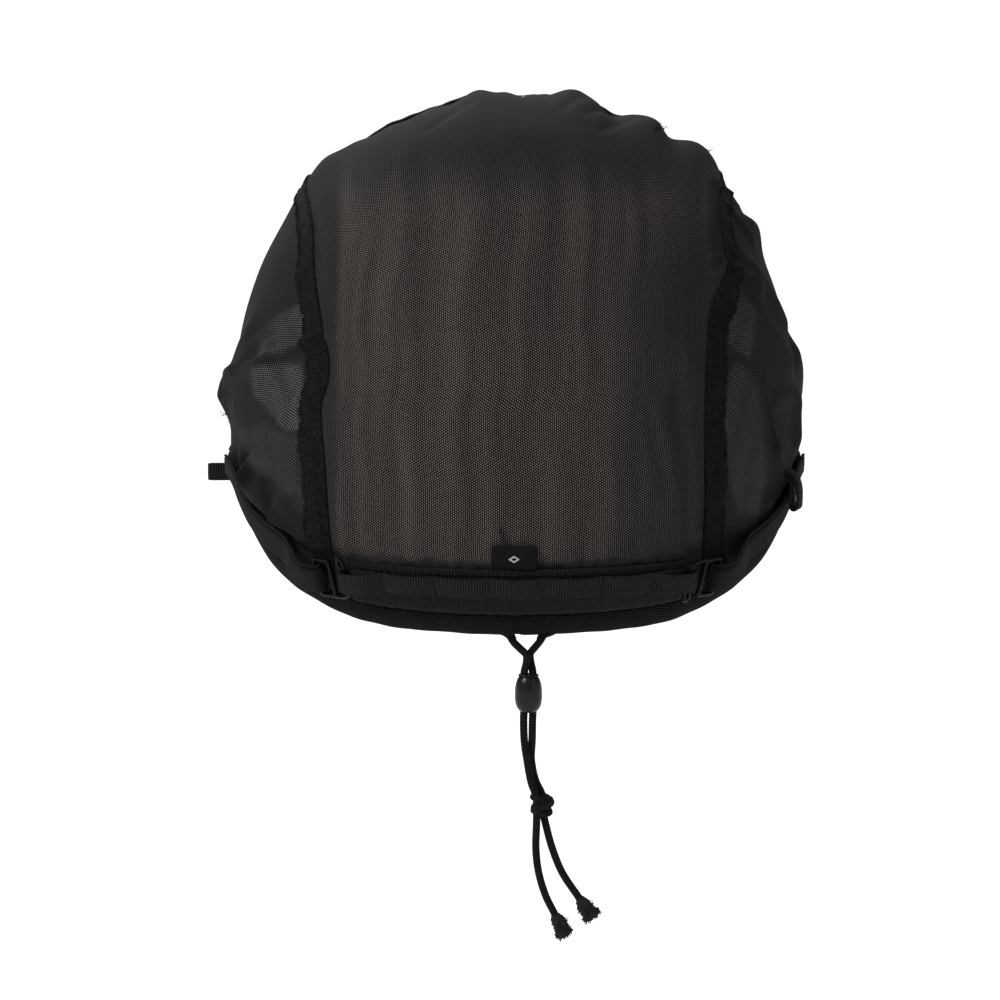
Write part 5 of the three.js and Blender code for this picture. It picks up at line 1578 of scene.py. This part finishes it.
for name, side in (("hem_stitches_left", 1), ("hem_stitches_right", -1)):
    stitch_row(name, side * np.linspace(1, CASING_END - 2, 500), lambda a: casing_top(a) + 0.7, 1.62, 1.9)
stitch_row("ribbon_edge_stitches", np.linspace(30, -30, 500), ribbon_stitch_fall, 2.45, 2.0)
stitch_row("binding_stitches", np.linspace(CASING_END + 2, 360 - CASING_END - 2, 900),
           lambda a: binding_top(a) + 0.9, 1.32, 2.0)


def tuft(name, place, lift, direction, count, reach, radius, material, seed, spread):
    """Short loose threads that stand out from the place a pixel shows."""
    picks = np.random.default_rng(seed)
    root = seen([place], lift)[0]
    threads = []
    for _ in range(count):
        start = root + picks.normal(0, spread, 3) * [1, 1, 0.6]
        lean = unit(np.asarray(direction, float) + picks.normal(0, 0.45, 3))
        size = reach * picks.uniform(0.5, 1.2)
        bend = picks.normal(0, 0.3, 3) * size
        share = np.linspace(0, 1, 7)[:, None]
        threads.append(start + lean * size * share + bend * share**2 * 0.5)
    tubes_mesh(name, threads, radius, material, 4)


# Loose threads: name, pixel, lift, direction, count, reach, radius, material, seed and spread
TUFTS = [
    ("fray_crown_right", (655, 128), 5.5, (-0.6, 0.2, 0.5), 26, 1.9, 0.07, FRAY, 21, 0.9),
    ("fray_seam_right", (702, 150), 4.5, (-0.7, 0.2, 0.4), 22, 1.7, 0.07, FRAY, 22, 0.8),
    ("fray_left_corner", (223, 412), 2.0, (0.8, 0.1, -0.3), 12, 1.9, 0.06, FRAY, 23, 0.9),
    ("speck_crown", (524, 97), 2.5, (0.3, 0.2, 0.6), 4, 0.8, 0.09, PALE, 24, 0.25),
]
for row in TUFTS:
    tuft(*row)


# The label thread's tail, in pixels
THREAD_TAIL = [(500, 528), (500, 532), (502, 537), (503, 541), (503, 545)]
tail_path = centripetal(seen(THREAD_TAIL, 1.6), 16)
tubes_mesh("label_thread_tail", [tail_path], 0.22, OVERLOCK, 6)


# Pale floor and soft light
def floor_material():
    t = Tree("pale_floor")
    shade = t.noise(t.place(), 0.4, 2.0)
    base = t.surface(t.blend(shade, (0.24, 0.24, 0.24, 1), (0.28, 0.28, 0.28, 1)), 0.9, specular=0.0)
    glow = t.node("ShaderNodeEmission")
    glow.inputs[0].default_value = (1.0, 1.0, 1.0, 1)
    glow.inputs[1].default_value = FLOOR_GLOW
    total = t.node("ShaderNodeAddShader")
    t.join(base, total.inputs[0])
    t.join(glow.outputs[0], total.inputs[1])
    return t.finish(total.outputs[0])


FLOOR_GLOW, SKY_LIGHT = 0.97, 0.36
FLOOR_RADIUS, FLOOR_HEIGHT = 30, -0.42
bpy.ops.mesh.primitive_circle_add(
    vertices=96, radius=FLOOR_RADIUS, fill_type="NGON", location=(0, 0, FLOOR_HEIGHT)
)
floor = bpy.context.object
floor.name = "floor"
floor.data.materials.append(floor_material())


def studio_world():
    world = bpy.data.worlds.new("studio")
    bpy.context.scene.world = world
    world.use_nodes = True
    tree = world.node_tree
    tree.nodes.clear()
    shown = tree.nodes.new("ShaderNodeBackground")
    shown.inputs[0].default_value = (1.0, 1.0, 1.0, 1)
    shown.inputs[1].default_value = 1.0
    lighting = tree.nodes.new("ShaderNodeBackground")
    lighting.inputs[0].default_value = (0.98, 0.99, 1.0, 1)
    lighting.inputs[1].default_value = SKY_LIGHT
    ray = tree.nodes.new("ShaderNodeLightPath")
    choose = tree.nodes.new("ShaderNodeMixShader")
    output = tree.nodes.new("ShaderNodeOutputWorld")
    tree.links.new(ray.outputs["Is Camera Ray"], choose.inputs[0])
    tree.links.new(lighting.outputs[0], choose.inputs[1])
    tree.links.new(shown.outputs[0], choose.inputs[2])
    tree.links.new(choose.outputs[0], output.inputs[0])


studio_world()


def area_light(name, place, size, power):
    """A round lamp that shines on the cap."""
    data = bpy.data.lights.new(name, "AREA")
    data.shape = "DISK"
    data.size = size
    data.energy = power
    light = bpy.data.objects.new(name, data)
    light.location = place
    light.rotation_mode = "QUATERNION"
    light.rotation_quaternion = (Vector((0, 0, -0.08)) - Vector(place)).to_track_quat("-Z", "Y")
    bpy.context.scene.collection.objects.link(light)


area_light("key", (1.25, 1.0, 1.2), 0.6, 33)
area_light("fill", (-1.3, 1.1, 0.5), 1.0, 3)
area_light("front", (0.3, -1.4, 0.9), 1.2, 14)
bpy.context.scene.view_settings.view_transform = "Standard"
